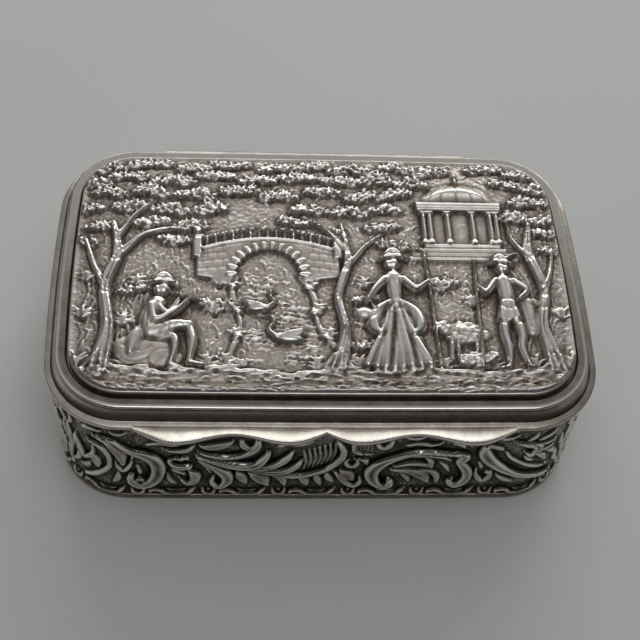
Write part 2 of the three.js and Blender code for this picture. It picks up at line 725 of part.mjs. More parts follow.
function swan(at, size, way) {
  const put = placed(at, size, way);
  const neck = [[1.5, 0.2], [2.5, 1.2], [1.9, 2.3], [2, 3.1], [2.8, 3.3]];
  return [
    oval(at, [2.3 * size, 1.05 * size], 1.1),
    stroke(put([[0.9, 0.4], [-0.9, 0.7], [-2.5, 1]]), [0.2 * size, 0.6 * size, 0.2 * size], 1.05),
    stroke(put(neck), [0.5, 0.4, 0.36, 0.4, 0.2].map((w) => w * size), 0.95),
  ];
}

function picture() {
  const leaves = leafClouds.map(([x, y, length]) =>
    oval([x, y - 0.2], [0.72 * length + leafEnd, leafDepth], leafHeight, 6),
  );
  return [
    bank(),
    ...streamBanks(),
    ...bridge(),
    ...leaves,
    ...temple(),
    ...trunks.map(({ points, widths }) => stroke(points, widths, trunkHeight)),
    ...boughs.map(({ points, widths }) => stroke(points, widths, boughHeight)),
    ...swan([-10.6, -9], 1, 1),
    ...swan([-6, -14.8], 1.2, -1),
    ...sheep([22.6, -13.6], 1.3, -1, true),
    ...sheep([23.8, -19], 1, 1, false),
    ...piper(),
    ...shepherdess(),
    ...youth(),
  ];
}

// Raised sheet: an upright edge, a rolled shoulder and a low crown with the picture, hollow underneath
function lidPanel() {
  const shoulder = arcPoints(new THREE.Vector2(0, 0), 1, 0, Math.PI / 2, arcSteps)
    .map((p) => flatInset - panelShoulder * p.x);
  const crown = [flatInset + panelShoulder, (flatInset + crownInset) / 2, crownInset];
  const outside = [...shoulder, ...crown].map((inset) => [inset, panelHeight(inset)]);
  const under = pictureSink + panelThickness;
  const inside = [
    [panelInset + panelThickness, onFrame - panelThickness],
    [panelInset + panelThickness, crownBottom - under],
    [flatInset + panelThickness, crownBottom - under],
    [crownInset, crownBottom + panelCrown - under],
  ];
  const field = blockSolid([
    [flatInset, onFrame],
    [flatInset, crownBottom + 2 * panelSide],
  ]);
  const relief = wasm.Manifold.union(picture().map(solidOf)).intersect(solidOf(field));
  const sheet = solidOf(blockSolid([[panelInset, onFrame], ...outside]));
  return geometryOf(sheet.add(relief).subtract(solidOf(blockSolid(inside))).simplify(reliefFineness));
}

function lidLining() {
  const edge = frameInset + seamGap;
  const top = shelfBottom - seamGap;
  return blockSolid([
    [edge, top - lidLiningThickness],
    [edge, top],
  ]);
}

// Reach of the scalloped lip beyond the brim, at a place along the front
function thumbReach(x) {
  const s = Math.abs(x);
  const wave = (from, to, share) => from + (to - from) * share;
  const swing = (share) => (1 - Math.cos(Math.PI * share)) / 2;
  if (s < thumbInnerLobeAt) {
    return wave(thumbMiddleReach, thumbInnerReach, Math.sin((Math.PI / 2) * (s / thumbInnerLobeAt)));
  }
  if (s < thumbHollowAt) {
    const share = (s - thumbInnerLobeAt) / (thumbHollowAt - thumbInnerLobeAt);
    return wave(thumbInnerReach, thumbHollowReach, swing(share));
  }
  if (s < thumbOuterLobeAt) {
    const share = (s - thumbHollowAt) / (thumbOuterLobeAt - thumbHollowAt);
    return wave(thumbHollowReach, thumbOuterReach, swing(share));
  }
  const share = (s - thumbOuterLobeAt) / (thumbHalfLength - thumbOuterLobeAt);
  return wave(brimRound, thumbOuterReach, Math.cos((Math.PI / 2) * share));
}

function thumbPiece() {
  const steps = 12 * arcSteps;
  const along = Array.from({ length: steps + 1 }, (_, k) => thumbHalfLength * ((2 * k) / steps - 1));
  const inner = along.map((x) => new THREE.Vector2(x, -frontEdge(x) - seamGap));
  const outer = along.map((x) => new THREE.Vector2(x, -frontEdge(x) - seamGap - thumbReach(x)));
  const outline = new THREE.Shape([...outer, ...inner.reverse()]);
  const lip = new THREE.ExtrudeGeometry(outline, { depth: brimThickness, bevelEnabled: false, steps: 1 });
  const place = lip.getAttribute("position");
  for (let i = 0; i < place.count; i++) {
    const reach = -place.getY(i) - frontEdge(place.getX(i)) - seamGap;
    place.setZ(i, place.getZ(i) + brimBottom - thumbDroop * reach);
  }
  return lip;
}

// Hinge

// A strip of sheet bent round the knuckles, between two angles about the pin
function jointStrip(fromDegrees, toDegrees) {
  const from = THREE.MathUtils.degToRad(fromDegrees);
  const to = THREE.MathUtils.degToRad(toDegrees);
  const section = new THREE.Shape();
  section.absarc(0, 0, stripOuter, from, to, false);
  section.absarc(0, 0, stripInner, to, from, true);
  const strip = new THREE.ExtrudeGeometry(section, {
    depth: 2 * hingeHalf,
    bevelEnabled: false,
    curveSegments: arcSteps,
  });
  return alongHinge(strip, -hingeHalf);
}

function knuckle(index) {
  const half = (knuckleLength - knuckleGap) / 2;
  const chamfered = knuckleRadius - knuckleChamfer;
  const profile = [
    [boreRadius, half],
    [boreRadius, -half],
    [chamfered, -half],
    [knuckleRadius, -half + knuckleChamfer],
    [knuckleRadius, half - knuckleChamfer],
    [chamfered, half],
    [boreRadius, half],
  ].map(([r, y]) => new THREE.Vector2(r, y));
  const middle = (index - (knuckleCount - 1) / 2) * knuckleLength;
  const tube = new THREE.LatheGeometry(profile, roundSides).rotateZ(-Math.PI / 2);
  return tube.translate(middle, pinY, pinZ);
}

function hingePin() {
  const length = 2 * (hingeHalf - plugSpigot - seamGap);
  const pin = new THREE.CylinderGeometry(pinRadius, pinRadius, length, roundSides);
  return pin.rotateZ(Math.PI / 2).translate(0, pinY, pinZ);
}

// Domed plug that closes the bore of an end knuckle
function pinPlug(side) {
  const face = hingeHalf - knuckleGap / 2 + seamGap;
  const dome = arcPoints(new THREE.Vector2(0, 0), 1, 0, Math.PI / 2, arcSteps).map(
    (p) => new THREE.Vector2(p.x * plugRadius, face + p.y * plugHeight),
  );
  const profile = [
    new THREE.Vector2(0, hingeHalf - plugSpigot),
    new THREE.Vector2(pinRadius, hingeHalf - plugSpigot),
    new THREE.Vector2(pinRadius, face),
    ...dome.slice(0, -1),
    new THREE.Vector2(0, face + plugHeight),
  ];
  const plug = new THREE.LatheGeometry(profile, roundSides);
  return plug.rotateZ((-side * Math.PI) / 2).translate(0, pinY, pinZ);
}

// Assembly

function piece(name, geometry, material) {
  const mesh = new THREE.Mesh(geometry, material);
  mesh.name = name;
  return mesh;
}

const caseGroup = new THREE.Group();
caseGroup.add(
  piece("foot_wire", footWire(), silver),
  piece("bottom_plate", bottomPlate(), silver),
  piece("case_wall", caseWall(), chased),
  piece("case_rim", caseRim(), silver),
  piece("case_lining", caseLining(), gilt),
  piece("case_joint_strip", jointStrip(stripMeeting + stripParting / 2, 360 - lidOpening / 2), silver),
  piece("hinge_pin", hingePin(), steel),
  piece("pin_plug_left", pinPlug(-1), silver),
  piece("pin_plug_right", pinPlug(1), silver),
);

const lidGroup = new THREE.Group();
lidGroup.add(
  piece("lid_frame", lidFrame(), silver),
  piece("lid_bead", lidBead(), silver),
  piece("lid_panel", lidPanel(), chased),
  piece("lid_lining", lidLining(), gilt),
  piece("thumb_piece", thumbPiece(), silver),
  piece("lid_joint_strip", jointStrip(lidOpening / 2, stripMeeting - stripParting / 2), silver),
);

// The knuckles take turns: even ones belong to the case, odd ones to the lid
for (let index = 0; index < knuckleCount; index++) {
  const owner = index % 2 === 0 ? caseGroup : lidGroup;
  const label = index % 2 === 0 ? "case_knuckle_" : "lid_knuckle_";
  owner.add(piece(label + (Math.floor(index / 2) + 1), knuckle(index), silver));
}

const snuffBox = new THREE.Group();
snuffBox.add(caseGroup, lidGroup);

export default snuffBox;
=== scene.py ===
"""A silver table snuff box: chased wall, raised picture panel, plain mounts, gilt inside and a hinged lid."""

import math

import bpy
import numpy as np
from mathutils import Matrix, Vector


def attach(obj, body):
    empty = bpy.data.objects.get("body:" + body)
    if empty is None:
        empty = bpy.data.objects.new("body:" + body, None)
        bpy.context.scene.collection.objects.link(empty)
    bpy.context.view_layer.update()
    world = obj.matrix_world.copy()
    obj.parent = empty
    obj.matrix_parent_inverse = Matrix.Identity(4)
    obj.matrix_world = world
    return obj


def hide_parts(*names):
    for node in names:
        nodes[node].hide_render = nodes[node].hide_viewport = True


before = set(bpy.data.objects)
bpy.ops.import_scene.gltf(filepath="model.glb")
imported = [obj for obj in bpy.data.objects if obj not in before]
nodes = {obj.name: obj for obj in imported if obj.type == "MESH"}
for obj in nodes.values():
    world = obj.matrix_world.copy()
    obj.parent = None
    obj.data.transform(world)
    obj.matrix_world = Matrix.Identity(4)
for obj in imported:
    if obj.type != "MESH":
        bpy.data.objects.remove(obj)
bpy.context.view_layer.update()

MM = 0.001

# Plan of the box, in millimetres, as in the solids
BRIM_WIDTH = 90.0
BRIM_DEPTH = 57.6
CORNER_RADIUS = 12.8
FRONT_BOW = 0.4
END_BOW = 1.2

# Case
FOOT_HEIGHT = 1.2
FOOT_INSET = 0.55
FOOT_WIDTH = 1.7
FOOT_TONE = 0.24
PLATE_INSET = 2.35
PLATE_BOTTOM = 0.4
PLATE_TOP = 1.1
WALL_BOTTOM = 1.3
WALL_TOP = 22.5
WALL_BACK_INSET = 1.9
WALL_GROUND_INSET = 0.85
WALL_GROUND_WAIST = 0.45
RIM_BOTTOM = 22.6
RIM_TOP = 23.4
RIM_OUTER = 0.8
RIM_INNER = 3.0
LINING_OUTER = 3.1
LINING_INNER = 3.7
LINING_BOTTOM = 1.2
LINING_FLOOR = 1.8
LINING_TOP = 25.0

# Lid
BRIM_BOTTOM = 23.5
BRIM_TOP = 24.3
BRIM_ROUND = 0.2
LEDGE_WIDTH = 1.0
LEDGE_TOP = 24.45
COVE_TOP_INSET = 2.35
FRAME_TOP = 26.4
FRAME_INSET = 2.9
SHELF_BOTTOM = 25.8
SHELF_INSET = 4.9
BEAD_INSET = 1.85
BEAD_WIDTH = 1.9
BEAD_BOTTOM = 26.5
BEAD_ROUND = 0.38
BEAD_TOP = 27.15
PANEL_INSET = 4.05
PANEL_BOTTOM = 26.5
SHOULDER_BOTTOM = 27.7
SHOULDER = 0.5
CROWN_INSET = 12.2
CROWN_RISE = 0.9
LID_LINING_INSET = 3.0
LID_LINING_BOTTOM = 25.2
LID_LINING_TOP = 25.7

# Hinge
PIN_Y = 29.0
PIN_Z = 22.35
KNUCKLES = 9
KNUCKLE_LENGTH = 6.0
KNUCKLE_GAP = 0.15
KNUCKLE_RADIUS = 1.4
KNUCKLE_CHAMFER = 0.15
BORE_RADIUS = 0.65
STRIP_INNER = 1.52
STRIP_OUTER = 1.97
SEAT_RADIUS = 2.07
HINGE_HALF = KNUCKLES * KNUCKLE_LENGTH / 2
SEAT_HALF = 27.7
PLUG_RADIUS = 1.2
PLUG_HEIGHT = 0.5
PLUG_SPIGOT = 0.8
CASE_STRIP_ANGLES = (150.0, 307.5)
LID_STRIP_ANGLES = (52.5, 146.0)


# Plan outline

def bow_radius(half, bow):
    return (half * half + bow * bow) / (2 * bow)


LONG_RADIUS = bow_radius(BRIM_WIDTH / 2, FRONT_BOW)
END_RADIUS = bow_radius(BRIM_DEPTH / 2, END_BOW)
LONG_CENTRE = BRIM_DEPTH / 2 - LONG_RADIUS
END_CENTRE = BRIM_WIDTH / 2 - END_RADIUS


def corner_centre():
    """Centre of the corner arc that touches the long arc and the end arc, in the +X +Y quarter."""
    to_long = LONG_RADIUS - CORNER_RADIUS
    to_end = END_RADIUS - CORNER_RADIUS
    apart = math.hypot(END_CENTRE, LONG_CENTRE)
    along = np.array([END_CENTRE, -LONG_CENTRE]) / apart
    foot = (to_long**2 - to_end**2 + apart**2) / (2 * apart)
    height = math.sqrt(to_long**2 - foot**2)
    across = np.array([along[1], -along[0]])
    return np.array([0, LONG_CENTRE]) + along * foot + across * height


CORNER_X, CORNER_Y = corner_centre()
LONG_SWING = math.atan2(CORNER_X, CORNER_Y - LONG_CENTRE)
END_SWING = math.atan2(CORNER_Y, CORNER_X - END_CENTRE)
CORNER_SWING = math.pi / 2 - LONG_SWING - END_SWING


def plan_arcs():
    """The eight arcs anticlockwise from the front: centre, radius and the angle each turns through."""
    front = ((0, -LONG_CENTRE), LONG_RADIUS, 2 * LONG_SWING)
    right = ((END_CENTRE, 0), END_RADIUS, 2 * END_SWING)
    back = ((0, LONG_CENTRE), LONG_RADIUS, 2 * LONG_SWING)
    left = ((-END_CENTRE, 0), END_RADIUS, 2 * END_SWING)
    corners = [((x * CORNER_X, y * CORNER_Y), CORNER_RADIUS, CORNER_SWING)
               for x, y in ((1, -1), (1, 1), (-1, 1), (-1, -1))]
    return [front, corners[0], right, corners[1], back, corners[2], left, corners[3]]


ARCS = plan_arcs()
ARC_LENGTHS = np.array([radius * swing for _, radius, swing in ARCS])
PERIMETER = ARC_LENGTHS.sum()


def around(distance):
    """Points on the brim's edge and the outward ways there, by distance from the middle of the front."""
    travel = (np.asarray(distance, float) + ARC_LENGTHS[0] / 2) % PERIMETER
    starts = np.concatenate([[0], np.cumsum(ARC_LENGTHS)[:-1]])
    which = np.searchsorted(starts, travel, side="right") - 1
    centres = np.array([centre for centre, _, _ in ARCS])[which]
    radii = np.array([radius for _, radius, _ in ARCS])[which]
    swings = np.array([swing for _, _, swing in ARCS])
    first_angles = -math.pi / 2 - LONG_SWING + np.concatenate([[0], np.cumsum(swings)[:-1]])
    angle = first_angles[which] + (travel - starts[which]) / radii
    outward = np.stack([np.cos(angle), np.sin(angle)], 1)
    return centres + outward * radii[:, None], outward


def inset_of(x, y):
    """How far inside the brim's edge a place is. Right up to an inset of the corner radius."""
    x = np.abs(x)
    y = np.abs(y)
    from_long = LONG_RADIUS - np.hypot(x, y - LONG_CENTRE)
    from_end = END_RADIUS - np.hypot(x - END_CENTRE, y)
    from_corner = CORNER_RADIUS - np.hypot(x - CORNER_X, y - CORNER_Y)
    turn = np.arctan2(y - CORNER_Y, x - CORNER_X)
    in_corner = (turn > END_SWING) & (turn < math.pi / 2 - LONG_SWING)
    return np.where(in_corner, from_corner, np.minimum(from_long, from_end))


# Meshes

SHARP_DEGREES = 35
RELIEF_SHARP_DEGREES = 60
RING_SPACING = 0.6
TUBE_SIDES = 48
SEAT_SIDES = 72
# Most of a side of an outline that the rounding of one corner takes up
CORNER_SHARE = 0.45


def add_object(name, data):
    """An object in the scene that holds a mesh, a lamp or a camera."""
    made = bpy.data.objects.new(name, data)
    bpy.context.scene.collection.objects.link(made)
    return made


def shade(mesh, sharp_degrees=SHARP_DEGREES):
    """Smooth shading. Edges that bend more than the angle stay sharp."""
    mesh.shade_smooth()
    mesh.set_sharp_from_angle(angle=math.radians(sharp_degrees))


def mesh_object(name, points, faces, sharp_degrees=SHARP_DEGREES):
    """A smooth-shaded object from points in millimetres."""
    mesh = bpy.data.meshes.new(name)
    mesh.from_pydata((np.asarray(points, float) * MM).tolist(), [], [list(map(int, face)) for face in faces])
    mesh.validate()
    shade(mesh, sharp_degrees)
    return add_object(name, mesh)


def dress(made, node, body, material):
    """Gives a piece its material and ties it to the node that it stands for."""
    made.data.materials.clear()
    made.data.materials.append(material)
    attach(made, body)
    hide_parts(node)
    return made


def keep_tone(made, tones):
    """Stores each point's tone, for the material to read: tarnish and wear, and on some pieces painted light
    and shade.
    """
    layer = made.data.attributes.new("tone", "FLOAT", "POINT")
    layer.data.foreach_set("value", np.asarray(tones, np.float32).ravel())


def round_corners(corners, radius, steps=4):
    """A closed outline of (inset, height) corners, each rounded off by a short arc."""
    corners = np.asarray(corners, float)
    rounded = []
    for before, here, after in zip(np.roll(corners, 1, 0), corners, np.roll(corners, -1, 0)):
        back = before - here
        on = after - here
        reach = min(radius, CORNER_SHARE * np.linalg.norm(back), CORNER_SHARE * np.linalg.norm(on))
        start = here + back / np.linalg.norm(back) * reach
        end = here + on / np.linalg.norm(on) * reach
        for t in np.linspace(0, 1, steps + 1):
            rounded.append((1 - t) ** 2 * start + 2 * t * (1 - t) * here + t**2 * end)
    return np.array(rounded)


def edge_arc(corner, across, down, count):
    """Quarter round at a corner of a profile, from its upright face to its level one."""
    inset, height = corner
    turn = np.radians(np.linspace(0, 90, count))
    return [(inset + across * (1 - math.cos(a)), height - down * (1 - math.sin(a))) for a in turn]


def band_faces(row, next_row, count):
    """Faces between two closed rows of points, given by the numbers of their first points."""
    index = np.arange(count)
    following = (index + 1) % count
    return np.stack([row + index, row + following, next_row + following, next_row + index], 1)


def loop_faces(rows, count):
    """Faces of a band whose last row of points joins the first."""
    return np.vstack([band_faces(k * count, (k + 1) % rows * count, count) for k in range(rows)])


def capped_faces(rows, count):
    """Faces between rows of points, with a flat face on the first row and on the last."""
    faces = [face for k in range(rows - 1) for face in band_faces(k * count, (k + 1) * count, count)]
    return faces + [np.arange(count)[::-1], np.arange(count) + (rows - 1) * count]


def ring_rows(profile):
    """Points of a profile carried round the box, row by row, and how many there are to a row."""
    count = int(round(PERIMETER / RING_SPACING))
    edge, outward = around(np.arange(count) * PERIMETER / count)
    rows = [np.column_stack([edge - outward * inset, np.full(count, height)]) for inset, height in profile]
    return np.vstack(rows), count


def ring_mesh(name, profile):
    """A closed band round the box: the profile climbs its outside and comes down its inside."""
    points, count = ring_rows(profile)
    return mesh_object(name, points, loop_faces(len(profile), count))


def ring_tones(made, tones, painted_back_tones=None, lean=0.0):
    """Tone of each row of a band at the front and at the back: tarnish, with painted light and shade. A lean
    makes the left brighter, as painted light.
    """
    count = len(made.data.vertices)
    places = np.empty(3 * count, np.float32)
    made.data.vertices.foreach_get("co", places)
    x, y, _ = places.reshape(-1, 3).T
    front = np.repeat(tones, count // len(tones))
    back = front if painted_back_tones is None else np.repeat(painted_back_tones, count // len(tones))
    share = (0.5 + 0.5 * y / y.max()) ** 2
    keep_tone(made, (front + (back - front) * share) * (1 - lean * x / x.max()))


def block_mesh(name, profile):
    """A closed block with the box's plan: the profile runs from the bottom face to the top face."""
    points, count = ring_rows(profile)
    return mesh_object(name, points, capped_faces(len(profile), count))


def lathe_mesh(name, profile, sides=TUBE_SIDES, closed=True):
    """A round piece on the hinge pin's line, from (place along X, radius) points."""
    turn = np.arange(sides) * 2 * math.pi / sides
    points = [(x, PIN_Y + radius * math.cos(a), PIN_Z + radius * math.sin(a))
              for x, radius in profile for a in turn]
    faces = loop_faces(len(profile), sides) if closed else capped_faces(len(profile), sides)
    return mesh_object(name, points, [face[::-1] for face in faces])


def box_between(low, high):
    """A block between two corners, to cut with."""
    corners = [(x, y, z) for x in (low[0], high[0]) for y in (low[1], high[1]) for z in (low[2], high[2])]
    faces = [(0, 1, 3, 2), (4, 6, 7, 5), (0, 4, 5, 1), (2, 3, 7, 6), (0, 2, 6, 4), (1, 5, 7, 3)]
    return mesh_object("cutter", corners, faces)


def hinge_seat():
    """The round hollow that the joint strips lie in."""
    profile = [(-SEAT_HALF, SEAT_RADIUS), (SEAT_HALF, SEAT_RADIUS)]
    return lathe_mesh("cutter", profile, SEAT_SIDES, closed=False)


def cut(made, cutters):
    """Takes the cutters out of a piece and removes them."""
    for cutter in cutters:
        modifier = made.modifiers.new("cut", "BOOLEAN")
        modifier.operation = "DIFFERENCE"
        modifier.solver = "EXACT"
        modifier.object = cutter
    depsgraph = bpy.context.evaluated_depsgraph_get()
    result = bpy.data.meshes.new_from_object(made.evaluated_get(depsgraph))
    made.modifiers.clear()
    made.data = result
    shade(result)
    for cutter in cutters:
        bpy.data.objects.remove(cutter)
    return made


# Chasing: heights on a sheet of silver

FORM_EDGE = 0.22
PLATE_EDGE = 0.25
GUTTER_SINK = 0.32
GUTTER_HALF = 0.3
VEIN_DEPTH = 0.3
VEIN_SHARE = 0.16
VEIN_LEAST = 0.04
LEAF_RIDGE = 0.45
FLAT_DISH = 0.1
GROOVE_WIDTH = 0.16
LEAST_HALF = 0.05
STROKE_MARGIN = 0.5
PLATE_MARGIN = 0.6
LINE_STEPS = 6
PUNCH_EVERYWHERE = 0.12
# Further than any form reaches
FAR = 9.0
# How far from a place its height is compared with its neighbours', and how much that tells
WIDE_REACH = 0.9
WIDE_GAIN = 0.9
FINE_REACH = 0.25
FINE_GAIN = 1.3


def smooth_curve(points, steps=10):
    """Smooth curve through points, with its ends on the first and the last."""
    p = np.asarray(points, float)
    if len(p) == 2:
        return p
    ends = np.vstack([2 * p[0] - p[1], p, 2 * p[-1] - p[-2]])
    t = np.linspace(0, 1, steps, endpoint=False)[:, None]
    spans = []
    for a, b, c, d in zip(ends, ends[1:], ends[2:], ends[3:]):
        square = (2 * a - 5 * b + 4 * c - d) * t**2
        cube = (3 * b - a - 3 * c + d) * t**3
        spans.append(b + ((c - a) * t + square + cube) / 2)
    return np.vstack(spans + [p[-1:]])


def rise(x):
    """Smooth step from 0 at 0 to 1 at 1."""
    x = np.clip(x, 0, 1)
    return x * x * (3 - 2 * x)


def soften(field, reach, wrap=False):
    """Mean over a square of that many cells each way, taken twice."""
    span = 2 * reach + 1
    for axis in (0, 1, 0, 1):
        margins = [(reach + 1, reach) if a == axis else (0, 0) for a in (0, 1)]
        padded = np.pad(field, margins, mode="wrap" if wrap and axis == 1 else "edge")
        total = np.cumsum(padded, axis=axis)
        upper = np.take(total, range(span, total.shape[axis]), axis=axis)
        lower = np.take(total, range(0, total.shape[axis] - span), axis=axis)
        field = (upper - lower) / span
    return field


def form_height(outside, half, height, profile, edge):
    """Height of a raised form from the distance outside its edge and its half width there."""
    inside = np.maximum(-outside, 0)
    rel = np.clip(1 - inside / half, 0, 1)
    if profile == "round":
        return height * np.sqrt(np.clip(1 - rel * rel, 0, 1))
    wall = rise(inside / np.minimum(edge, half))
    if profile == "gutter":
        return height * wall * (1 - GUTTER_SINK * (1 - rel) ** 2 * rise(half / GUTTER_HALF - 0.5))
    if profile == "leaf":
        vein = VEIN_DEPTH * np.exp(-((half - inside) / (VEIN_SHARE * half + VEIN_LEAST)) ** 2)
        return height * ((1 - LEAF_RIDGE) * wall + LEAF_RIDGE * (1 - rel)) * (1 - vein)
    return height * wall * (1 - FLAT_DISH + FLAT_DISH * rel)


class Sheet:
    """Sheet of silver: heights above its ground, in millimetres, with raised forms and sunk lines."""

    def __init__(self, low, high, step):
        self.low = np.array(low, float)
        self.step = step
        count = np.round((np.array(high) - self.low) / step).astype(int) + 1
        self.height = np.zeros((count[1], count[0]))

    def window(self, low, high):
        """The part of the sheet between two corners: its slices and its places each way."""
        rows, columns = self.height.shape
        first = np.floor((np.asarray(low) - self.low) / self.step).astype(int)
        last = np.ceil((np.asarray(high) - self.low) / self.step).astype(int) + 1
        u0, u1 = np.clip([first[0], last[0]], 0, columns)
        v0, v1 = np.clip([first[1], last[1]], 0, rows)
        if u0 >= u1 or v0 >= v1:
            return None
        u = self.low[0] + self.step * np.arange(u0, u1)
        v = self.low[1] + self.step * np.arange(v0, v1)
        return (slice(v0, v1), slice(u0, u1)), u, v

    def lay(self, where, form, outside, lift, groove):
        """Lays a form on the sheet: what it covers is raised to it, and a sunk line follows its edge."""
        old = self.height[where]
        if groove:
            old = old - groove * np.exp(-((outside / GROOVE_WIDTH) ** 2)) * (outside > 0)
        self.height[where] = np.where(outside <= 0, np.maximum(old, form + lift), old)

    def nearness(self, curve, half, margin):
        """Window round a curve, the distance outside its edge there, and the nearest half width."""
        reach = half.max() + margin
        box = self.window(curve.min(0) - reach, curve.max(0) + reach)
        if box is None:
            return None
        where, u, v = box
        outside = np.full((len(v), len(u)), FAR)
        width = np.ones((len(v), len(u)))
        for a, b, half_a, half_b in zip(curve, curve[1:], half, half[1:]):
            reach = max(half_a, half_b) + margin
            columns = slice(*np.searchsorted(u, [min(a[0], b[0]) - reach, max(a[0], b[0]) + reach]))
            rows = slice(*np.searchsorted(v, [min(a[1], b[1]) - reach, max(a[1], b[1]) + reach]))
            du = u[None, columns] - a[0]
            dv = v[rows, None] - a[1]
            way = b - a
            t = np.clip((du * way[0] + dv * way[1]) / max(way @ way, 1e-9), 0, 1)
            here = half_a + (half_b - half_a) * t
            gap = np.hypot(du - t * way[0], dv - t * way[1]) - here
            nearer = gap < outside[rows, columns]
            outside[rows, columns] = np.where(nearer, gap, outside[rows, columns])
            width[rows, columns] = np.where(nearer, here, width[rows, columns])
        return where, outside, width

    def stroke(self, points, widths, height, profile="flat", lift=0.0, groove=0.0, edge=FORM_EDGE):
        """A raised stroke along a curve. The widths are half widths, spread evenly along it."""
        points = np.asarray(points, float)
        places = np.linspace(0, 1, len(points))
        widths = np.interp(places, np.linspace(0, 1, len(np.atleast_1d(widths))), np.atleast_1d(widths))
        curve = smooth_curve(np.column_stack([points, widths]))
        found = self.nearness(curve[:, :2], np.maximum(curve[:, 2], LEAST_HALF), STROKE_MARGIN)
        if found:
            where, outside, half = found
            self.lay(where, form_height(outside, half, height, profile, edge), outside, lift, groove)

    def line(self, points, depth, width=0.12):
        """A sunk line cut into whatever is there."""
        curve = smooth_curve(points, LINE_STEPS)
        found = self.nearness(curve, np.zeros(len(curve)), 3 * width)
        if found:
            where, distance, _ = found
            self.height[where] -= depth * np.exp(-((distance / width) ** 2))

    def blob(self, centre, radii, height, turn=0.0, lift=0.0, groove=0.0):
        """A raised oval, turned by an angle in degrees."""
        reach = max(radii) + STROKE_MARGIN
        box = self.window(np.array(centre) - reach, np.array(centre) + reach)
        if box is None:
            return
        where, u, v = box
        cos = math.cos(math.radians(turn))
        sin = math.sin(math.radians(turn))
        du = u[None, :] - centre[0]
        dv = v[:, None] - centre[1]
        far = np.hypot((cos * du + sin * dv) / radii[0], (cos * dv - sin * du) / radii[1])
        small = np.full(far.shape, min(radii))
        outside = (far - 1) * small
        self.lay(where, form_height(outside, small, height, "round", FORM_EDGE), outside, lift, groove)

    def plate(self, corners, height, edge=PLATE_EDGE, groove=0.0):
        """A raised flat with straight sides and sloping edges."""
        p = np.asarray(corners, float)
        box = self.window(p.min(0) - PLATE_MARGIN, p.max(0) + PLATE_MARGIN)
        if box is None:
            return
        where, u, v = box
        u = u[None, :]
        v = v[:, None]
        inside = np.zeros((v.shape[0], u.shape[1]), bool)
        distance = np.full(inside.shape, FAR)
        for a, b in zip(p, np.roll(p, -1, 0)):
            way = b - a
            t = np.clip(((u - a[0]) * way[0] + (v - a[1]) * way[1]) / max(way @ way, 1e-9), 0, 1)
            distance = np.minimum(distance, np.hypot(u - a[0] - t * way[0], v - a[1] - t * way[1]))
            if way[1]:
                crosses = (v > min(a[1], b[1])) & (v <= max(a[1], b[1]))
                inside ^= crosses & (u < a[0] + (v - a[1]) * way[0] / way[1])
        outside = np.where(inside, -distance, distance)
        self.lay(where, height * rise(-outside / edge), outside, 0.0, groove)

    def punch(self, rng, depth, bare_below):
        """Fine punched texture, strongest on the bare ground."""
        grain = soften(rng.standard_normal(self.height.shape), 1)
        grain /= np.abs(grain).max()
        bare = rise(1 - np.abs(self.height) / bare_below)
        self.height += depth * grain * (PUNCH_EVERYWHERE + (1 - PUNCH_EVERYWHERE) * bare)

    def sample(self, u, v):
        """Heights at places on the sheet, between its cells."""
        just_inside = 1.001
        x = np.clip((u - self.low[0]) / self.step, 0, self.height.shape[1] - just_inside)
        y = np.clip((v - self.low[1]) / self.step, 0, self.height.shape[0] - just_inside)
        i = x.astype(int)
        j = y.astype(int)
        fx = x - i
        fy = y - j
        lower = self.height[j, i] * (1 - fx) + self.height[j, i + 1] * fx
        upper = self.height[j + 1, i] * (1 - fx) + self.height[j + 1, i + 1] * fx
        return lower * (1 - fy) + upper * fy


def spiral(centre, start_radius, end_radius, start, turns, count=14):
    """Points of a spiral, from an angle in degrees; positive turns run anticlockwise."""
    share = np.linspace(0, 1, count)
    angle = math.radians(start) + 2 * math.pi * turns * share
    radius = start_radius + (end_radius - start_radius) * share
    return np.stack([centre[0] + radius * np.cos(angle), centre[1] + radius * np.sin(angle)], 1)


def tone_of(height, step, ground, wrap=False):
    """How worn bright (1) or darkened (0) each place is: proud ones bright, hollows dark with tarnish and
    painted shade, plain ground between.
    """
    proud = height - soften(height, int(WIDE_REACH / step), wrap)
    edge = height - soften(height, int(FINE_REACH / step), wrap)
    return np.clip(ground + WIDE_GAIN * proud + FINE_GAIN * edge, 0, 1)


# Scrollwork on the wall, placed by distance along the wall and height above the table

SCROLL_FULLNESS = 1.6
SCROLL_HEIGHT = 0.62
SCROLL_DEPTH = 1.3
SCROLL_GROOVE = 0.2
END_SCROLL_SHIFT = 2.2
CORNER_LEAF_SHIFT = 24.6
BORDER_UNITS = 23
BORDER_SHIFT = 6.8
BORDER_FULLNESS = 1.5
BORDER_TOP = 4.8
# How much darker the wall's tone is made towards the foot, below the border's top
LOWER_BORDER_DARKENING = 0.09
WALL_CELLS = 2710
WALL_SEED = 7
WALL_PUNCH = (0.16, 0.2)
WALL_GROUND_TONE = 0.42
WALL_BACK_TONE = 0.5
# Shares of the wall's height over which the relief fades at its foot and at its top
FOOT_FADE = 0.03
TOP_FADE = 0.04
# Behind the hinge, what lies above this height is pressed down under the seat
PRESS_ABOVE = 16.0
SEAT_DROP = 0.86
